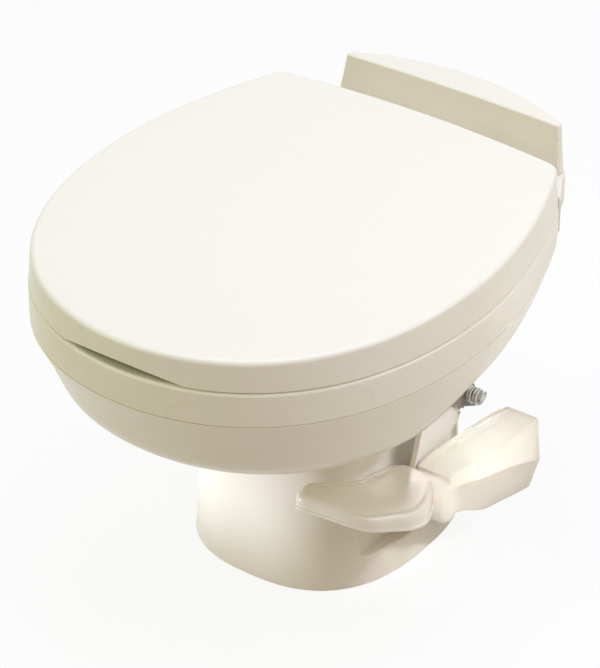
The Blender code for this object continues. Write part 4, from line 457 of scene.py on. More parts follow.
def oval(angles, half_x, half_y):
    """Points of an oval round the middle of the seat's opening, in the given directions."""
    points = []
    for angle in angles:
        c, s = math.cos(angle), math.sin(angle)
        radius = half_x * half_y / math.hypot(half_y * c, half_x * s)
        points.append((radius * c, HOLE_Y + radius * s))
    return np.array(points)


def eased(value, start, end):
    """How far a value has come from a start to an end, eased at both."""
    t = min(max((value - start) / (end - start), 0.0), 1.0)
    return t * t * (3 - 2 * t)


# Rings and solids

def quarter_round(steps=FILLET_STEPS):
    """How far across a quarter circle is, and how far below its top, as it goes in and up."""
    for k in range(steps + 1):
        angle = math.pi / 2 * k / steps
        yield 1 - math.cos(angle), 1 - math.sin(angle)


def level(points, height):
    """Plan points at one height, or at a height that depends on the place."""
    if callable(height):
        return [(x, y, height(x, y)) for x, y in points]
    return [(x, y, height) for x, y in points]


def dropped(surface, drop):
    """A height function a little below another, or below a fixed height."""
    if callable(surface):
        return lambda x, y: surface(x, y) - drop
    return surface - drop


def rings_at(outline, *steps):
    """Rings of one plan outline, each at an inset and a height."""
    return [level(offset(outline, inset), height) for inset, height in steps]


def edge_rings(outline, inset, surface, radius):
    """Rings of a quarter round between a wall at an inset and a face at a height."""
    steps = [(inset + radius * across, dropped(surface, radius * below))
             for across, below in quarter_round()]
    return rings_at(outline, *steps)


def loft(rings, closed=False):
    """Skin rings of equal count, with end caps, or closed into a loop of rings."""
    count = len(rings[0])
    verts = [tuple(map(float, point)) for ring in rings for point in ring]
    faces = []
    for row in range(len(rings) if closed else len(rings) - 1):
        low = row * count
        high = (row + 1) % len(rings) * count
        for i in range(count):
            j = (i + 1) % count
            faces.append([low + i, low + j, high + j, high + i])
    if not closed:
        last = (len(rings) - 1) * count
        faces.append(list(range(count)))
        faces.append([last + i for i in range(count)])
    return verts, faces


def along(axis, u, v, w):
    """A point with w along an axis and u, v along the next two axes."""
    return {"X": (w, u, v), "Y": (v, w, u), "Z": (u, v, w)}[axis]


def turned(axis, centre, profile, sides=ROUND_SIDES):
    """A turned shape from radii and places along an axis."""
    rings = []
    for radius, place in profile:
        ring = []
        for i in range(sides):
            angle = 2 * math.pi * i / sides
            u = centre[0] + radius * math.cos(angle)
            v = centre[1] + radius * math.sin(angle)
            ring.append(along(axis, u, v, place))
        rings.append(ring)
    return loft(rings)


def rod(axis, centre, radius, start, end, edge=ROD_EDGE, sides=ROUND_SIDES):
    """A cylinder with rounded ends."""
    ends = list(quarter_round(ROD_END_STEPS))
    profile = [(radius - edge * below, start + edge * across) for across, below in ends]
    profile += [(radius - edge * across, end - edge * below) for across, below in ends]
    return turned(axis, centre, profile, sides)


def bore(axis, centre, radius, start, end):
    """The tool for a round hole between two places, a little longer at each end."""
    return rod(axis, centre, radius, start - OVERRUN, end + OVERRUN, BORE_EDGE)


def soft_box(low, high):
    """A box with rounded edges."""
    work = bmesh.new()
    bmesh.ops.create_cube(work, size=1.0)
    for vert in work.verts:
        vert.co = Vector([low[i] + (vert.co[i] + 0.5) * (high[i] - low[i]) for i in range(3)])
    bmesh.ops.bevel(
        work, geom=work.edges[:], offset=BOX_EDGE, segments=3, profile=0.5, affect="EDGES")
    work.verts.ensure_lookup_table()
    data = [tuple(v.co) for v in work.verts], [[v.index for v in f.verts] for f in work.faces]
    work.free()
    return data


def prism(axis, outline, start, end):
    """An outline carried along an axis."""
    return loft([[along(axis, u, v, w) for u, v in outline] for w in (start, end)])


# Objects

def joined(shapes):
    """Several closed shapes as one list of vertices and faces."""
    verts = []
    faces = []
    for shape_verts, shape_faces in shapes:
        start = len(verts)
        verts.extend(shape_verts)
        faces.extend([[start + i for i in face] for face in shape_faces])
    return verts, faces


def mesh_object(name, data):
    """An object from vertices and faces, with its faces turned outwards."""
    mesh = bpy.data.meshes.new(name)
    mesh.from_pydata(data[0], [], data[1])
    work = bmesh.new()
    work.from_mesh(mesh)
    bmesh.ops.recalc_face_normals(work, faces=work.faces)
    work.to_mesh(mesh)
    work.free()
    obj = bpy.data.objects.new(name, mesh)
    bpy.context.scene.collection.objects.link(obj)
    return obj


def evaluated(obj):
    """What an object's modifiers make of its mesh, as vertices and faces; the object goes."""
    bpy.context.view_layer.update()
    result = obj.evaluated_get(bpy.context.evaluated_depsgraph_get())
    mesh = result.to_mesh()
    data = [tuple(v.co) for v in mesh.vertices], [list(p.vertices) for p in mesh.polygons]
    result.to_mesh_clear()
    bpy.data.objects.remove(obj)
    return data


def combined(data, tools, operation="DIFFERENCE"):
    """A shape with other shapes cut out of it or joined to it."""
    obj = mesh_object("work", data)
    helpers = []
    for tool in tools:
        helper = mesh_object("tool", tool)
        helper.hide_render = True
        helpers.append(helper)
        modifier = obj.modifiers.new("Cut", "BOOLEAN")
        modifier.operation = operation
        modifier.solver = "EXACT"
        modifier.object = helper
    data = evaluated(obj)
    for helper in helpers:
        bpy.data.objects.remove(helper)
    return data


def melted(shapes):
    """Shapes that overlap, grown into one skin with soft joints."""
    obj = mesh_object("work", joined(shapes))
    remesh = obj.modifiers.new("Skin", "REMESH")
    remesh.mode = "VOXEL"
    remesh.voxel_size = SKIN_VOXEL
    smooth = obj.modifiers.new("Soften", "SMOOTH")
    smooth.factor = 0.5
    smooth.iterations = SKIN_ROUNDS
    return evaluated(obj)


def piece(name, shapes, material, body, *nodes):
    """A finished piece that rides on a body and stands for CAD nodes."""
    obj = mesh_object(name, joined(shapes))
    obj.data.materials.append(material)
    obj.data.shade_smooth()
    obj.data.set_sharp_from_angle(angle=SMOOTH_ANGLE)
    even = obj.modifiers.new("Even shading", "WEIGHTED_NORMAL")
    even.keep_sharp = True
    even.weight = FLAT_FACE_WEIGHT
    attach(obj, body)
    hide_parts(*nodes)


# Materials

def node(tree, kind, **values):
    """A shader node with its named inputs set."""
    made = tree.nodes.new(kind)
    for name, value in values.items():
        made.inputs[name.replace("_", " ")].default_value = value
    return made


def math_node(tree, operation, first, second):
    """The result of a sum on a shader value and a second value or number."""
    made = tree.nodes.new("ShaderNodeMath")
    made.operation = operation
    tree.links.new(first, made.inputs[0])
    if isinstance(second, float):
        made.inputs[1].default_value = second
    else:
        tree.links.new(second, made.inputs[1])
    return made.outputs["Value"]


def finish_material(slot, color, darker, roughness, grain, pore, pore_depth, metallic, coat):
    """A material whose colour, gloss and surface vary a little from place to place."""
    mat = bpy.data.materials.new("look_" + slot)
    mat.use_nodes = True
    tree = mat.node_tree
    shader = tree.nodes["Principled BSDF"]
    shader.inputs["Metallic"].default_value = metallic
    shader.inputs["Specular IOR Level"].default_value = SPECULAR
    shader.inputs["Coat Weight"].default_value = coat
    shader.inputs["Coat Roughness"].default_value = COAT_ROUGHNESS
    place = node(tree, "ShaderNodeTexCoord").outputs["Object"]
    wide = node(tree, "ShaderNodeTexNoise", Scale=grain, Detail=PATCH_DETAIL)
    fine = node(tree, "ShaderNodeTexNoise", Scale=pore, Detail=PORE_DETAIL)
    for noise in (wide, fine):
        noise.inputs["Roughness"].default_value = NOISE_ROUGHNESS
        tree.links.new(place, noise.inputs["Vector"])
    tint = tree.nodes.new("ShaderNodeValToRGB")
    dark, light = tint.color_ramp.elements
    dark.position, light.position = TINT_RANGE
    dark.color = (*[c * s for c, s in zip(color, darker)], 1.0)
    light.color = (*color, 1.0)
    tree.links.new(wide.outputs["Fac"], tint.inputs["Fac"])
    tree.links.new(tint.outputs["Color"], shader.inputs["Base Color"])
    less, more = GLOSS_SPREAD
    gloss = node(tree, "ShaderNodeMapRange", To_Min=roughness - less, To_Max=roughness + more)
    tree.links.new(wide.outputs["Fac"], gloss.inputs["Value"])
    tree.links.new(gloss.outputs["Result"], shader.inputs["Roughness"])
    bump = node(tree, "ShaderNodeBump", Strength=PORE_STRENGTH, Distance=pore_depth)
    tree.links.new(fine.outputs["Fac"], bump.inputs["Height"])
    tree.links.new(bump.outputs["Normal"], shader.inputs["Normal"])
    return mat


def dress_model(looks):
    """Materials and softened edges for the CAD pieces that stay."""
    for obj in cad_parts.values():
        slot = obj.material_slots[0].material.name
        obj.material_slots[0].material = looks[slot]
        if obj.hide_render:
            continue
        weld = obj.modifiers.new("Weld", "WELD")
        weld.merge_threshold = WELD_REACH
        if slot in SOFT_SLOTS:
            soft = obj.modifiers.new("Soft edges", "BEVEL")
            soft.width = SOFT_EDGE
            soft.segments = 2
            soft.limit_method = "ANGLE"
            soft.angle_limit = SOFT_ANGLE
            soft.use_clamp_overlap = True
        even = obj.modifiers.new("Even shading", "WEIGHTED_NORMAL")
        even.keep_sharp = True


# Lid and seat

def lid_side():
    """The right side of the lid's plan outline at its top edge, from the back to the front tip."""
    widest = (LID_HALF, BACK_Y - LID_WIDEST_BACK)
    front_y = BACK_Y - FRONT_REACH + SEAT_PROUD
    out, forward = LID_SIDE_PULLS
    pull = (LID_BACK_HALF + out * (LID_HALF - LID_BACK_HALF), BACK_Y - forward * LID_WIDEST_BACK)
    side, tip = LID_FRONT_PULLS
    front_pull = (LID_HALF, widest[1] - side * (widest[1] - front_y))
    rear = bezier((LID_BACK_HALF, BACK_Y), pull, widest, widest)
    front = bezier(widest, front_pull, (LID_HALF * tip, front_y), (0.0, front_y))
    return np.vstack([rear, front[1:]])


def lid_outline():
    """The lid's plan outline at its top edge."""
    return mirrored_outline(lid_side(), BACK_Y + LID_BACK_BOW, LID_BOW_POWER, LID_CORNER)


def lid_top(x, y):
    """Height of the lid's flat top, which falls gently to the front."""
    share = (BACK_Y - y) / (FRONT_REACH - SEAT_PROUD)
    return LID_LOW_Z + LID_THICK_BACK + (LID_THICK_FRONT - LID_THICK_BACK) * share


def lid_skirt(share):
    """Heights along the lid's side, a share of the way down from the top's rounded edge."""
    return lambda x, y: lid_top(x, y) * (1 - share) + LID_LOW_Z * share - LID_FILLET * (1 - share)


def lid_tray():
    """The lid's hollow tray with the finger notch in its front."""
    outline = lid_outline()
    wall, foot, edge = LID_WALL, LID_LOW_Z, LID_FOOT_EDGE
    rings = rings_at(outline, *((inset, lid_top) for inset in LID_FLAT_INSETS))
    rings += edge_rings(outline, -LID_TOP_OUT, lid_top, LID_FILLET)[::-1]
    for share in LID_SIDE_SHARES:
        out = LID_TOP_OUT + (LID_DRAFT - LID_TOP_OUT) * share
        rings += rings_at(outline, (-out, lid_skirt(share)))
    rings += rings_at(
        outline,
        (-LID_DRAFT, foot + edge),
        (-LID_DRAFT + edge / 3, foot + edge / 3),
        (-LID_DRAFT + edge, foot),
        (wall - LID_DRAFT, foot),
        (wall - LID_DRAFT / 2, lambda x, y: (lid_top(x, y) + foot) / 2),
        (wall, dropped(lid_top, wall * 2)),
        (wall * LID_INNER_ROUND, dropped(lid_top, wall * LID_INNER_ROUND)),
        (wall * 2, dropped(lid_top, wall)),
    )
    below = foot - NOTCH_BELOW
    wedge = [(NOTCH_EDGE[0][0], below), *NOTCH_EDGE, (NOTCH_EDGE[-1][0], below)]
    return combined(loft(rings), [prism("X", wedge, -LID_HALF, LID_HALF)])


def knuckle(start, end, *arms):
    """A hinge knuckle between two places across, grown into its arms and bored for the pin."""
    solid = combined(rod("X", HINGE, KNUCKLE_R, start, end), arms, "UNION")
    return combined(solid, [bore("X", HINGE, PIN_HOLE_R, start, end)])


def make_lid(looks):
    """The lid: a tray with a rounded edge, a finger notch and two knuckles."""
    shapes = [lid_tray()]
    y, z = HINGE
    for side in (-1, 1):
        inner = side * (POST_X - POST_HALF - SIDE_PLAY)
        a, b = sorted((inner, inner - side * KNUCKLE_WIDE))
        arm = soft_box((a, BACK_Y + LID_ARM_GAP, z - KNUCKLE_R), (b, y, z + KNUCKLE_R))
        shapes.append(knuckle(a, b, arm))
    piece("lid_shell", shapes, looks["seat_plastic"], "lid_body", "lid")


def seat_rings():
    """The seat's rings: up its outer side, over its dished top, through its opening and inside."""
    outline = offset(lid_outline(), -SEAT_PROUD)
    angles = directions(outline)

    def hole(grow):
        return oval(angles, HOLE_HALF_X + grow, HOLE_HALF_Y + grow)

    top, foot, wall = SEAT_TOP_Z, SEAT_LOW_Z, SEAT_WALL
    rings = rings_at(
        outline, (SEAT_FOOT_EDGE, foot), (0.0, foot + SEAT_FOOT_EDGE), (0.0, (foot + top) / 2))
    rings += edge_rings(outline, 0.0, top, SEAT_FILLET)
    outer = offset(outline, SEAT_FLAT_INSET)
    inner = hole(HOLE_FILLET)
    for share in SEAT_DISH_SHARES:
        fall = SEAT_DISH * share ** 2 * (3 - 2 * share)
        rings.append(level(outer + (inner - outer) * share, top - fall))
    for down, still in quarter_round():
        drop = SEAT_DISH + HOLE_FILLET * down
        rings.append(level(hole(HOLE_FILLET * still), top - drop))
    rings.append(level(hole(0.0), foot + HOLE_FOOT_EDGE))
    rings.append(level(hole(HOLE_FOOT_EDGE), foot))
    rings.append(level(hole(wall), foot))
    rings.append(level(hole(wall * 2), top - wall * 2))
    rings += rings_at(outline, (wall * 3, top - wall), (wall, top - wall * 2), (wall, foot))
    return rings


def make_seat(looks):
    """The seat: a hollow ring, gently dished towards its opening, with two knuckles."""
    shapes = [loft(seat_rings(), True)]
    y, z = HINGE
    low = SEAT_TOP_Z - SEAT_WALL
    front, rear = y - KNUCKLE_R - SEAT_UPRIGHT_OUT, y + SEAT_UPRIGHT_PAST
    for side in (-1, 1):
        inner = side * (POST_X + POST_HALF + SIDE_PLAY)
        a, b = sorted((inner, inner + side * KNUCKLE_WIDE))
        shelf = soft_box((a, BACK_Y, low), (b, y - SEAT_UPRIGHT_PAST, SEAT_TOP_Z))
        upright = soft_box((a, front, low), (b, rear, z))
        shapes.append(knuckle(a, b, shelf, upright))
    piece("seat_ring", shapes, looks["seat_plastic"], "seat_body", "seat")


# Body

def body_outline():
    """The body's plan outline at the rim: the seat's sides carried on to the rear corners."""
    side = lid_side()
    wide = [np.array(BODY_CORNER), np.array(BODY_KNEE)]
    for i in range(1, len(side)):
        run = side[min(i + 1, len(side) - 1)] - side[i - 1]
        run = run / np.linalg.norm(run)
        wide.append(side[i] + np.array((-run[1], run[0])) * SEAT_PROUD)
    wide[-1][0] = 0.0
    return mirrored_outline(np.array(wide), REAR_Y, BODY_BOW_POWER, BODY_ROUND)


def scaled(points, share):
    """A plan outline drawn in towards the pedestal's middle."""
    centre = np.array((0.0, PED_Y))
    return centre + (points - centre) * share


def clipped_behind(points, limit):
    """What of a plan outline lies behind a line across, closed with a straight front edge."""
    count = len(points)
    kept = []
    for i in range(count):
        a, b = points[i], points[(i + 1) % count]
        if a[1] >= limit:
            kept.append(a)
        if (a[1] - limit) * (b[1] - limit) < 0:
            kept.append(a + (b - a) * (limit - a[1]) / (b[1] - a[1]))
    kept = np.array(kept)
    gaps = np.linalg.norm(np.roll(kept, -1, axis=0) - kept, axis=1)
    start = int(np.argmax(gaps)) + 1
    around = np.roll(kept, -start, axis=0)
    xs = np.linspace(around[-1][0], around[0][0], CURVE_STEPS)
    front = [(x, limit) for x in xs]
    return rounded([[tuple(p) for p in around], front], DECK_CORNER)


def belly(share, height):
    """The height at a place of the bowl's profile, which hangs lower towards the front."""
    low, high = BELLY_SHARES
    rise = eased(share, *low) - eased(share, *high)
    return lambda x, y: height - BELLY_DROP * rise * eased(y, *BELLY_Y)


def shell_rings(outline):
    """The outer shell's rings: up its outside, over the rim, past the basin's ledge and inside."""
    profile = bezier(*PROFILE, steps=PROFILE_STEPS)
    wall, shelf = SHELL_WALL, RIM_Z - FLANGE
    rings = [level(scaled(outline, BODY_FOOT_SHARE), BODY_LOW_Z)]
    rings += [level(scaled(outline, share), belly(share, z)) for share, z in profile[:0:-1]]
    rings += rings_at(
        outline,
        (0.0, RIM_Z - RIM_EDGE),
        (RIM_EDGE / 3, RIM_Z - RIM_EDGE / 3),
        (RIM_EDGE, RIM_Z),
        (wall, RIM_Z),
        (wall, shelf),
        (wall + LEDGE, shelf),
        (wall + LEDGE, shelf - wall),
    )
    for share, z in profile[INNER_PROFILE]:
        rings.append(level(scaled(outline, share - INNER_SHARE_LESS), belly(share, z + wall)))
    rings.append(level(scaled(outline, BODY_FOOT_SHARE), BODY_LOW_Z + wall))
    return rings


def deck_rings(outline):
    """The raised deck's rings: down its outside and up inside it."""
    deck = clipped_behind(outline, DECK_FRONT_Y)
    wall, low = SHELL_WALL, RIM_Z - FLANGE - DECK_SKIRT
    step_in, step_down = DECK_SKIRT_STEP
    rings = edge_rings(deck, 0.0, DECK_Z, DECK_FILLET)[::-1]
    rings += rings_at(
        deck,
        (0.0, (DECK_Z + RIM_Z) / 2),
        (0.0, RIM_Z),
        (step_in, RIM_Z - step_down),
        (DECK_SKIRT, low),
        (wall, low),
        (wall, DECK_Z - DECK_THICK),
    )
    return rings


def make_body(looks):
    """The bowl's outer shell with the raised deck at the back."""
    outline = body_outline()
    shapes = [loft(shell_rings(outline), True), loft(deck_rings(outline))]
    piece("bowl_shell", shapes, looks["shell_plastic"], "toilet_base", "outer_shell")


def make_basin(looks):
    """The inner bowl under the seat, down to its throat."""
    around = offset(body_outline(), SHELL_WALL + BASIN_GAP)
    limit = DECK_FRONT_Y - BASIN_GAP
    flange = np.array([(x, min(y, limit)) for x, y in around])
    angles = directions(flange)

    def mouth(grow):
        return oval(angles, *(half + grow for half in BASIN_HALF))

    def neck(grow):
        radius = THROAT_R + grow
        return np.array([(radius * math.cos(t), PED_Y + radius * math.sin(t)) for t in angles])

    def bowl(share, grow):
        share = min(share, 1.0)
        return mouth(grow) * share + neck(grow) * (1 - share)

    steps = smooth_rows(BASIN_SHARES, BASIN_STEPS)
    drop = RIM_Z - BASIN_SUMP_Z
    rings = [level(flange, RIM_Z - BASIN_FLANGE), level(flange, RIM_Z)]
    for grow, fall in ((BASIN_RIM_OUT, 0.0), *BASIN_RIM_ROUND):
        rings.append(level(mouth(grow), RIM_Z - fall))
    for share, fall in steps:
        rings.append(level(bowl(share, 0.0), RIM_Z - fall * drop))
    rings.append(level(neck(0.0), RIM_Z - BASIN_SHARES[-1][1] * drop - BASIN_WALL))
    for share, fall in steps[::-1]:
        rings.append(level(bowl(share, BASIN_WALL), RIM_Z - fall * drop - BASIN_WALL))
    piece("bowl_basin", [loft(rings, True)], looks["basin_plastic"], "toilet_base", "basin")


# Pedestal

def pedestal_half(height):
    """Half width and half depth of the pedestal at a height."""
    if height < PED_FOOT_Z:
        change = PED_FOOT_OUT * (1 - height / PED_FOOT_Z)
    else:
        change = -PED_TOP_IN * (height - PED_FOOT_Z) / (BODY_LOW_Z - PED_FOOT_Z)
    return PED_HALF[0] + change, PED_HALF[1] + change


def pedestal_ring(height, inward=0.0):
    """The pedestal's outline at a height, moved inwards."""
    half_x, half_y = (h - inward for h in pedestal_half(height))
    points = []
    for i in range(PEDESTAL_SIDES):
        angle = 2 * math.pi * i / PEDESTAL_SIDES
        c, s = math.cos(angle), math.sin(angle)
        size = (abs(c) ** PED_POWER + abs(s) ** PED_POWER) ** (-1 / PED_POWER)
        points.append((half_x * c * size, PED_Y + half_y * s * size, height))
    return points


def pedestal_side(y, z):
    """How far out the pedestal's right side lies."""
    half_x, half_y = pedestal_half(z)
    share = min(abs((y - PED_Y) / half_y), 1.0)
    return half_x * (1 - share ** PED_POWER) ** (1 / PED_POWER)


def pocket_tool():
    """The pocket's shape, with a rounded floor and a lip that rolls out to the wall."""
    (y0, y1), (z0, z1) = POCKET_Y, POCKET_Z
    runs = []
    corners = [(y0, z0), (y1, z0), (y1, z1), (y0, z1)]
    for i in range(4):
        a, b = np.array(corners[i]), np.array(corners[(i + 1) % 4])
        runs.append([tuple(a + (b - a) * t) for t in np.linspace(0, 1, POCKET_SIDE_POINTS)])
    mouth = rounded(runs, POCKET_CORNER)
    rings = []
    for out, still in quarter_round():
        ring = offset(mouth, POCKET_FLOOR_R * still)
        rings.append([(POCKET_X + POCKET_FLOOR_R * out, y, z) for y, z in ring])
    least = POCKET_X + POCKET_FLOOR_R
    for across, below in quarter_round():
        deep = POCKET_LIP * below
        ring = offset(mouth, -POCKET_LIP * across)
        rings.append([(max(pedestal_side(y, z) - deep, least), y, z) for y, z in ring])
    ring = offset(mouth, -POCKET_LIP)
    rings.append([(PED_HALF[0] + HOLE_REACH, y, z) for y, z in ring])
    return loft(rings)


def pedestal_hollow():
    """The room inside the pedestal, less the pocket's own walls."""
    wide, high = PED_FLANGE
    inside = [
        pedestal_ring(-PED_TOP_PLATE, wide),
        pedestal_ring(high, wide),
        pedestal_ring(high, PED_WALL),
        pedestal_ring(PED_FOOT_Z, PED_WALL),
        pedestal_ring(PED_TOP_Z - PED_TOP_PLATE, PED_WALL),
    ]
    liner = soft_box(
        (POCKET_X - PED_WALL, POCKET_Y[0] - PED_WALL, POCKET_Z[0] - PED_WALL),
        (PED_HALF[0] + PED_TOP_PLATE, POCKET_Y[1] + PED_WALL, POCKET_Z[1] + PED_WALL),
    )
    return combined(loft(inside), [liner])


def make_pedestal(looks):
    """The hollow pedestal with its foot flange, top plate and the pedal pocket."""
    foot_start, foot_count = PED_FOOT_RINGS
    side_start, side_count = PED_SIDE_RINGS
    heights = [
        *np.linspace(foot_start, PED_FOOT_Z, foot_count),
        *np.linspace(side_start, PED_TOP_Z, side_count),
    ]
    rings = [pedestal_ring(z, inward) for z, inward in PED_FOOT_ROUND]
    rings += [pedestal_ring(z) for z in heights]
    hole = [(HOUSING_HOLE_R, PED_TOP_Z - HOLE_REACH), (HOUSING_HOLE_R, PED_TOP_Z + HOLE_REACH)]
    wall_y = PED_Y + PED_HALF[1]
    tools = [
        pedestal_hollow(),
        pocket_tool(),
        turned("Z", (0.0, PED_Y), hole),
        rod("X", AXIS, ROD_HOLE_R, POCKET_X - HOLE_REACH, POCKET_X + OVERRUN, BORE_EDGE),
        rod("Y", INLET_Z_X, INLET_HOLE_R, *(wall_y + reach for reach in INLET_HOLE), BORE_EDGE),
    ]
    shell = combined(loft(rings), tools)
    piece("pedestal_shell", [shell], looks["shell_plastic"], "toilet_base", "pedestal")


# Back cover

def cover_ring(height, inward=0.0):
    """The back cover's outline at a height: bowed front, bowed rear, rounded corners."""
    share = (height - DECK_Z) / (COVER_TOP_Z - DECK_Z)
    half = COVER_HALF_FOOT + (COVER_HALF_TOP - COVER_HALF_FOOT) * share
    front = COVER_FOOT_Y + (COVER_TOP_Y - COVER_FOOT_Y) * share
    rear_end = COVER_TOP_Y + COVER_END_DEEP - (1 - share) * COVER_END_LEAN
    xs = np.linspace(-half, half, CURVE_STEPS + 1)
    fore = [(x, front + COVER_BOW * (1 - (x / half) ** 2)) for x in xs]
    aft = [(x, COVER_REAR_Y - (COVER_REAR_Y - rear_end) * (x / half) ** 2) for x in xs[::-1]]
    near, far = np.array(fore[-1]), np.array(aft[0])
    right = [tuple(near + (far - near) * t) for t in np.linspace(0, 1, COVER_END_POINTS)]
    left = [(-x, y) for x, y in right[::-1]]
    ring = rounded([fore, right, aft, left], COVER_CORNER)
    return offset(ring, inward) if inward else ring


def make_cover(looks):
    """The raised back cover: a hollow shell with a flat top."""
    low, top, wall = COVER_LOW_Z, COVER_TOP_Z, COVER_WALL
    rings = [
        level(cover_ring(top, wall), top - wall),
        level(cover_ring(low, wall), low),
        level(cover_ring(low, COVER_FOOT_IN), low),
    ]
    for share in COVER_SIDE_SHARES:
        z = low + (top - low - COVER_FILLET) * share
        rings.append(level(cover_ring(z), z))
    for across, below in quarter_round():
        z = top - COVER_FILLET * below
        rings.append(level(cover_ring(z, COVER_FILLET * across + COVER_TOP_IN), z))
    piece("back_cover_shell", [loft(rings)], looks["shell_plastic"], "toilet_base", "back_cover")


# Front pedal

def leaf_place(across, forward):
    """The plan place of a share of the leaf's half width and of its reach."""
    return across * LEAF_HALF, AXIS[0] - forward * LEAF_REACH


def leaf_top(x, y):
    """Height of the front pedal's top, which rises to the front."""
    return LEAF_NECK_Z + (AXIS[0] - y) * math.tan(LEAF_RISE)


def leaf_low(x, y):
    """Height of the front pedal's lower edge: its skirt is deep at the heel, shallow at the tip."""
    share = (AXIS[0] - y) / LEAF_REACH
    heel, tip = LEAF_DEEP
    return leaf_top(x, y) - heel - (tip - heel) * share


def leaf_shape():
    """The leaf: a soft dome that falls from its spine to a lip, and a hollow skirt below."""
    plan = smooth_loop([leaf_place(*place) for place in LEAF_PLAN_SHARES], LEAF_STEPS)
    spine = smooth_rows([leaf_place(*place) for place in LEAF_SPINE_SHARES], LEAF_SPINE_STEPS)
    lip_in, lip_tall = LEAF_LIP
    edge = offset(plan, lip_in)
    near = np.array([spine[np.argmin(np.linalg.norm(spine - point, axis=1))] for point in edge])
    for _ in range(LEAF_SPINE_EVENINGS):
        near = (np.roll(near, 1, axis=0) + near + np.roll(near, -1, axis=0)) / 3
    feet = [leaf_low(x, y) + lip_tall + lip_in / 2 for x, y in edge]
    rings = []
    for k in range(LEAF_DOME_RINGS + 1):
        share = LEAF_DOME_SHARE * (1 - k / LEAF_DOME_RINGS) ** LEAF_DOME_CROWDING
        rise = (1 - (1 - share) ** LEAF_DOME_POWER) ** (1 / LEAF_DOME_POWER)
        ring = edge + (near - edge) * share
        rings.append([(x, y, foot + (leaf_top(x, y) - foot) * rise)
                      for (x, y), foot in zip(ring, feet)])
    rings += rings_at(
        plan,
        (LEAF_LIP_IN, dropped(leaf_low, -lip_tall)),
        (0.0, dropped(leaf_low, -LEAF_FOOT_EDGE)),
        (LEAF_FOOT_EDGE, leaf_low),
        (LEAF_SKIRT, leaf_low),
        (LEAF_SKIRT, dropped(leaf_top, LEAF_TOP_THICK)),
    )
    clear_end = LEAF_HALF + LEAF_CLEAR_PAST
    clear = rod("X", AXIS, HUB_R + HUB_CLEARANCE,
                LEAF_CLEAR_X, clear_end, LEAF_CLEAR_EDGE, FINE_SIDES)
    return combined(loft(rings), [clear])


def make_front_pedal(looks):
    """The front pedal: a soft-edged leaf with a skirt, its ears on the rod and its cam arm."""
    y, z = AXIS
    front, back, high = y - EAR_FRONT, y - EAR_BACK, z + EAR_HIGH
    shapes = [leaf_shape(), soft_box((EAR_X, front, z + BAR_LOW), (BAR_END_X, back, high))]
    arm = [(front, z - EAR_LOW), (y, z - EAR_R), (y, z + EAR_R), (back, high), (front, high)]
    for start, wide in EARS:
        eye = rod("X", AXIS, EAR_R, start, start + wide, BORE_EDGE)
        ear = combined(prism("X", arm, start, start + wide), [eye], "UNION")
        shapes.append(combined(ear, [bore("X", AXIS, ROD_HOLE_R, start, start + wide)]))
    near, far = CAM_DROP
    shapes.append(soft_box((EAR_X, y - CAM_R, z - far), (CAM_END_X, y + CAM_R, z - near)))
    shapes.append(rod("X", (y, z - far), CAM_R, EAR_X, CAM_END_X, CAM_EDGE))
    piece("front_pedal", shapes, looks["pedal_plastic"], "water_pedal_body", "water_pedal")


# Rear pedal

def ridge(points):
    """A low rounded ridge along a line, sunk a little into what carries it."""
    points = [Vector(p) for p in points]
    last = len(points) - 1
    rings = []
    for i, point in enumerate(points):
        run = points[min(i + 1, last)] - points[max(i - 1, 0)]
        side = run.cross(Vector((0.0, 0.0, 1.0))).normalized()
        up = side.cross(run).normalized()
        size = RIDGE_END_SIZE if i in (0, last) else 1.0
        ring = []
        for k in range(RIDGE_SIDES):
            angle = 2 * math.pi * k / RIDGE_SIDES
            across = side * (RIDGE_WIDE / 2 * size * math.cos(angle))
            ring.append(point + across + up * (RIDGE_HIGH * size * math.sin(angle)))
        rings.append(ring)
    return loft(rings)


def block_shape():
    """The rear pedal's top plate and outer wall."""
    wall, side_wall = BLOCK_WALL, BLOCK_SIDE_WALL
    rings = []
    for row in smooth_rows(BLOCK_SECTIONS, BLOCK_STEPS):
        y, top, inner, facet, outer, crease, crease_z, foot, foot_z = row
        section = [
            (inner, top), (facet, top), (outer, top), (crease, crease_z), (foot, foot_z),
            (foot - wall, foot_z + wall / 4), (crease - side_wall, crease_z - wall / 4),
            (outer - side_wall, top - wall), (facet, top - wall), (inner, top - wall),
        ]
        rings.append([(x, y, z) for x, z in section])
    return loft(rings)


def block_end():
    """The rear pedal's closed far end."""
    y, top, inner, facet, outer, crease, crease_z, foot, foot_z = BLOCK_SECTIONS[-1]
    ring = np.array([
        (inner, top), (facet, top), (outer, top), (crease, crease_z), (foot, foot_z),
        (inner, top - BLOCK_END_DEEP),
    ])
    middle = ring.mean(axis=0)
    rings = []
    for past, size in BLOCK_END_RINGS:
        shape = middle + (ring - middle) * size
        rings.append([(u, y + past, v) for u, v in shape])
    return loft(rings)


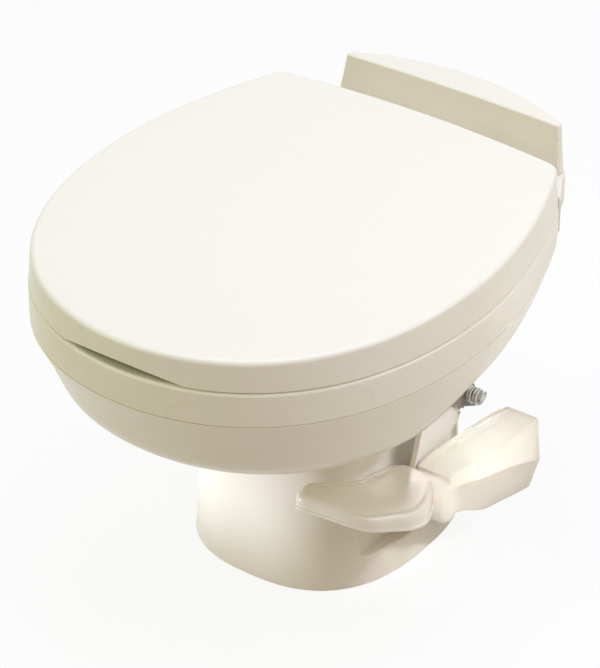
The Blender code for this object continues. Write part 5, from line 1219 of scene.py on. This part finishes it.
def make_rear_pedal(looks):
    """The rear pedal: block, hub and neck grown together, with low lines along its top."""
    y, z = AXIS
    start, end = HUB_X
    profile = [(radius, start + place) for radius, place in HUB_START]
    profile += [(radius, end + place) for radius, place in HUB_CAP]
    neck_y = y + NECK_LONG
    near_z, far_z = NECK_TOP_Z
    top = [(neck_y, far_z), (y + NECK_TOP_IN, near_z), (y, z + HUB_R - NECK_SUNK)]
    neck = prism("X", [(y, z), (neck_y, z), *top], start + NECK_SIDE_IN, end - NECK_SIDE_IN)
    skin = melted([block_shape(), block_end(), turned("X", AXIS, profile), neck])
    hole = rod("X", AXIS, ROD_HOLE_R, start - HUB_BORE[0], end - HUB_BORE[1], BORE_EDGE)
    recess = rod("X", AXIS, HUB_RECESS_R, end - HUB_RECESS[0], end + HUB_RECESS[1], BORE_EDGE)
    shapes = [combined(skin, [hole, recess])]
    rows = smooth_rows(BLOCK_SECTIONS, RIDGE_STEPS)[1:-2, :4]
    for share in RIDGE_SHARES:
        shapes.append(ridge([(inner + (facet - inner) * share, place, height + RIDGE_LIFT)
                             for place, height, inner, facet in rows]))
    piece("rear_pedal", shapes, looks["pedal_plastic"], "flush_pedal_body", "flush_pedal")


# Studio

def seen_value(tree):
    """A shader value that is 1 for what the camera, a reflection or clear material sees."""
    path = node(tree, "ShaderNodeLightPath").outputs
    clear = math_node(tree, "MAXIMUM", path["Is Glossy Ray"], path["Is Transmission Ray"])
    return math_node(tree, "MAXIMUM", path["Is Camera Ray"], clear)


def blend_to_output(tree, amount, first, second, kind):
    """A mix of two shaders as a node tree's surface."""
    blend = tree.nodes.new("ShaderNodeMixShader")
    tree.links.new(amount, blend.inputs["Fac"])
    tree.links.new(first, blend.inputs[1])
    tree.links.new(second, blend.inputs[2])
    output = next(n for n in tree.nodes if n.type == kind)
    tree.links.new(blend.outputs["Shader"], output.inputs["Surface"])


def make_floor():
    """A pale floor that the camera sees as a white sheet with a soft shadow."""
    mesh = bpy.data.meshes.new("studio_floor")
    corners = [(x * FLOOR_HALF, y * FLOOR_HALF, 0) for x, y in ((-1, -1), (1, -1), (1, 1), (-1, 1))]
    mesh.from_pydata(corners, [], [[0, 1, 2, 3]])
    floor = bpy.data.objects.new("studio_floor", mesh)
    floor.location.z = -FLOOR_DROP
    bpy.context.scene.collection.objects.link(floor)
    mat = bpy.data.materials.new("studio_floor")
    mat.use_nodes = True
    tree = mat.node_tree
    shader = tree.nodes["Principled BSDF"]
    shader.inputs["Roughness"].default_value = FLOOR_ROUGHNESS
    seen = seen_value(tree)
    tint = tree.nodes.new("ShaderNodeMix")
    tint.data_type = "RGBA"
    tint.inputs["A"].default_value = FLOOR_COLOR
    tint.inputs["B"].default_value = FLOOR_SEEN_COLOR
    tree.links.new(seen, tint.inputs["Factor"])
    tree.links.new(tint.outputs["Result"], shader.inputs["Base Color"])
    glow = node(tree, "ShaderNodeEmission", Color=WHITE, Strength=1.0)
    amount = math_node(tree, "MULTIPLY", seen, FLOOR_GLOW_SHARE)
    shaders = shader.outputs["BSDF"], glow.outputs["Emission"]
    blend_to_output(tree, amount, *shaders, "OUTPUT_MATERIAL")
    mesh.materials.append(mat)


def make_world():
    """A dim warm room that the camera sees as white."""
    world = bpy.data.worlds.new("studio")
    bpy.context.scene.world = world
    world.use_nodes = True
    tree = world.node_tree
    room = tree.nodes["Background"]
    room.inputs["Color"].default_value = ROOM_COLOR
    room.inputs["Strength"].default_value = ROOM_STRENGTH
    white = node(tree, "ShaderNodeBackground", Color=WHITE, Strength=1.0)
    shaders = room.outputs["Background"], white.outputs["Background"]
    blend_to_output(tree, seen_value(tree), *shaders, "OUTPUT_WORLD")


def make_lights():
    """A wide light above, two at the sides, and two narrow ones for the pedals and pedestal."""
    for name, place, target, size, power, color, spread in LIGHTS:
        data = bpy.data.lights.new(name, "AREA")
        data.shape = "RECTANGLE"
        data.size, data.size_y = size
        data.energy = power
        data.color = color
        data.spread = math.radians(spread)
        light = bpy.data.objects.new(name, data)
        light.location = place
        facing = Vector(target) - Vector(place)
        light.rotation_euler = facing.to_track_quat("-Z", "Y").to_euler()
        bpy.context.scene.collection.objects.link(light)


def make_camera():
    """The camera at the photograph's place and lens."""
    turn, flat = CAMERA_TURN, math.cos(CAMERA_RISE)
    back = Vector((math.sin(turn) * flat, -math.cos(turn) * flat, math.sin(CAMERA_RISE)))
    data = bpy.data.cameras.new("camera")
    data.sensor_fit = "VERTICAL"
    data.sensor_height = CAMERA_SENSOR
    data.lens = CAMERA_LENS
    camera = bpy.data.objects.new("camera", data)
    camera.location = CAMERA_TARGET + back * CAMERA_AWAY
    camera.rotation_euler = back.to_track_quat("Z", "Y").to_euler()
    bpy.context.scene.collection.objects.link(camera)
    bpy.context.scene.camera = camera


def main():
    """Build the pieces and the studio."""
    bpy.context.scene.view_settings.view_transform = "Standard"
    looks = {finish[0]: finish_material(*finish) for finish in FINISHES}
    make_camera()
    make_lid(looks)
    make_seat(looks)
    make_body(looks)
    make_basin(looks)
    make_pedestal(looks)
    make_cover(looks)
    make_front_pedal(looks)
    make_rear_pedal(looks)
    dress_model(looks)
    make_floor()
    make_world()
    make_lights()


main()
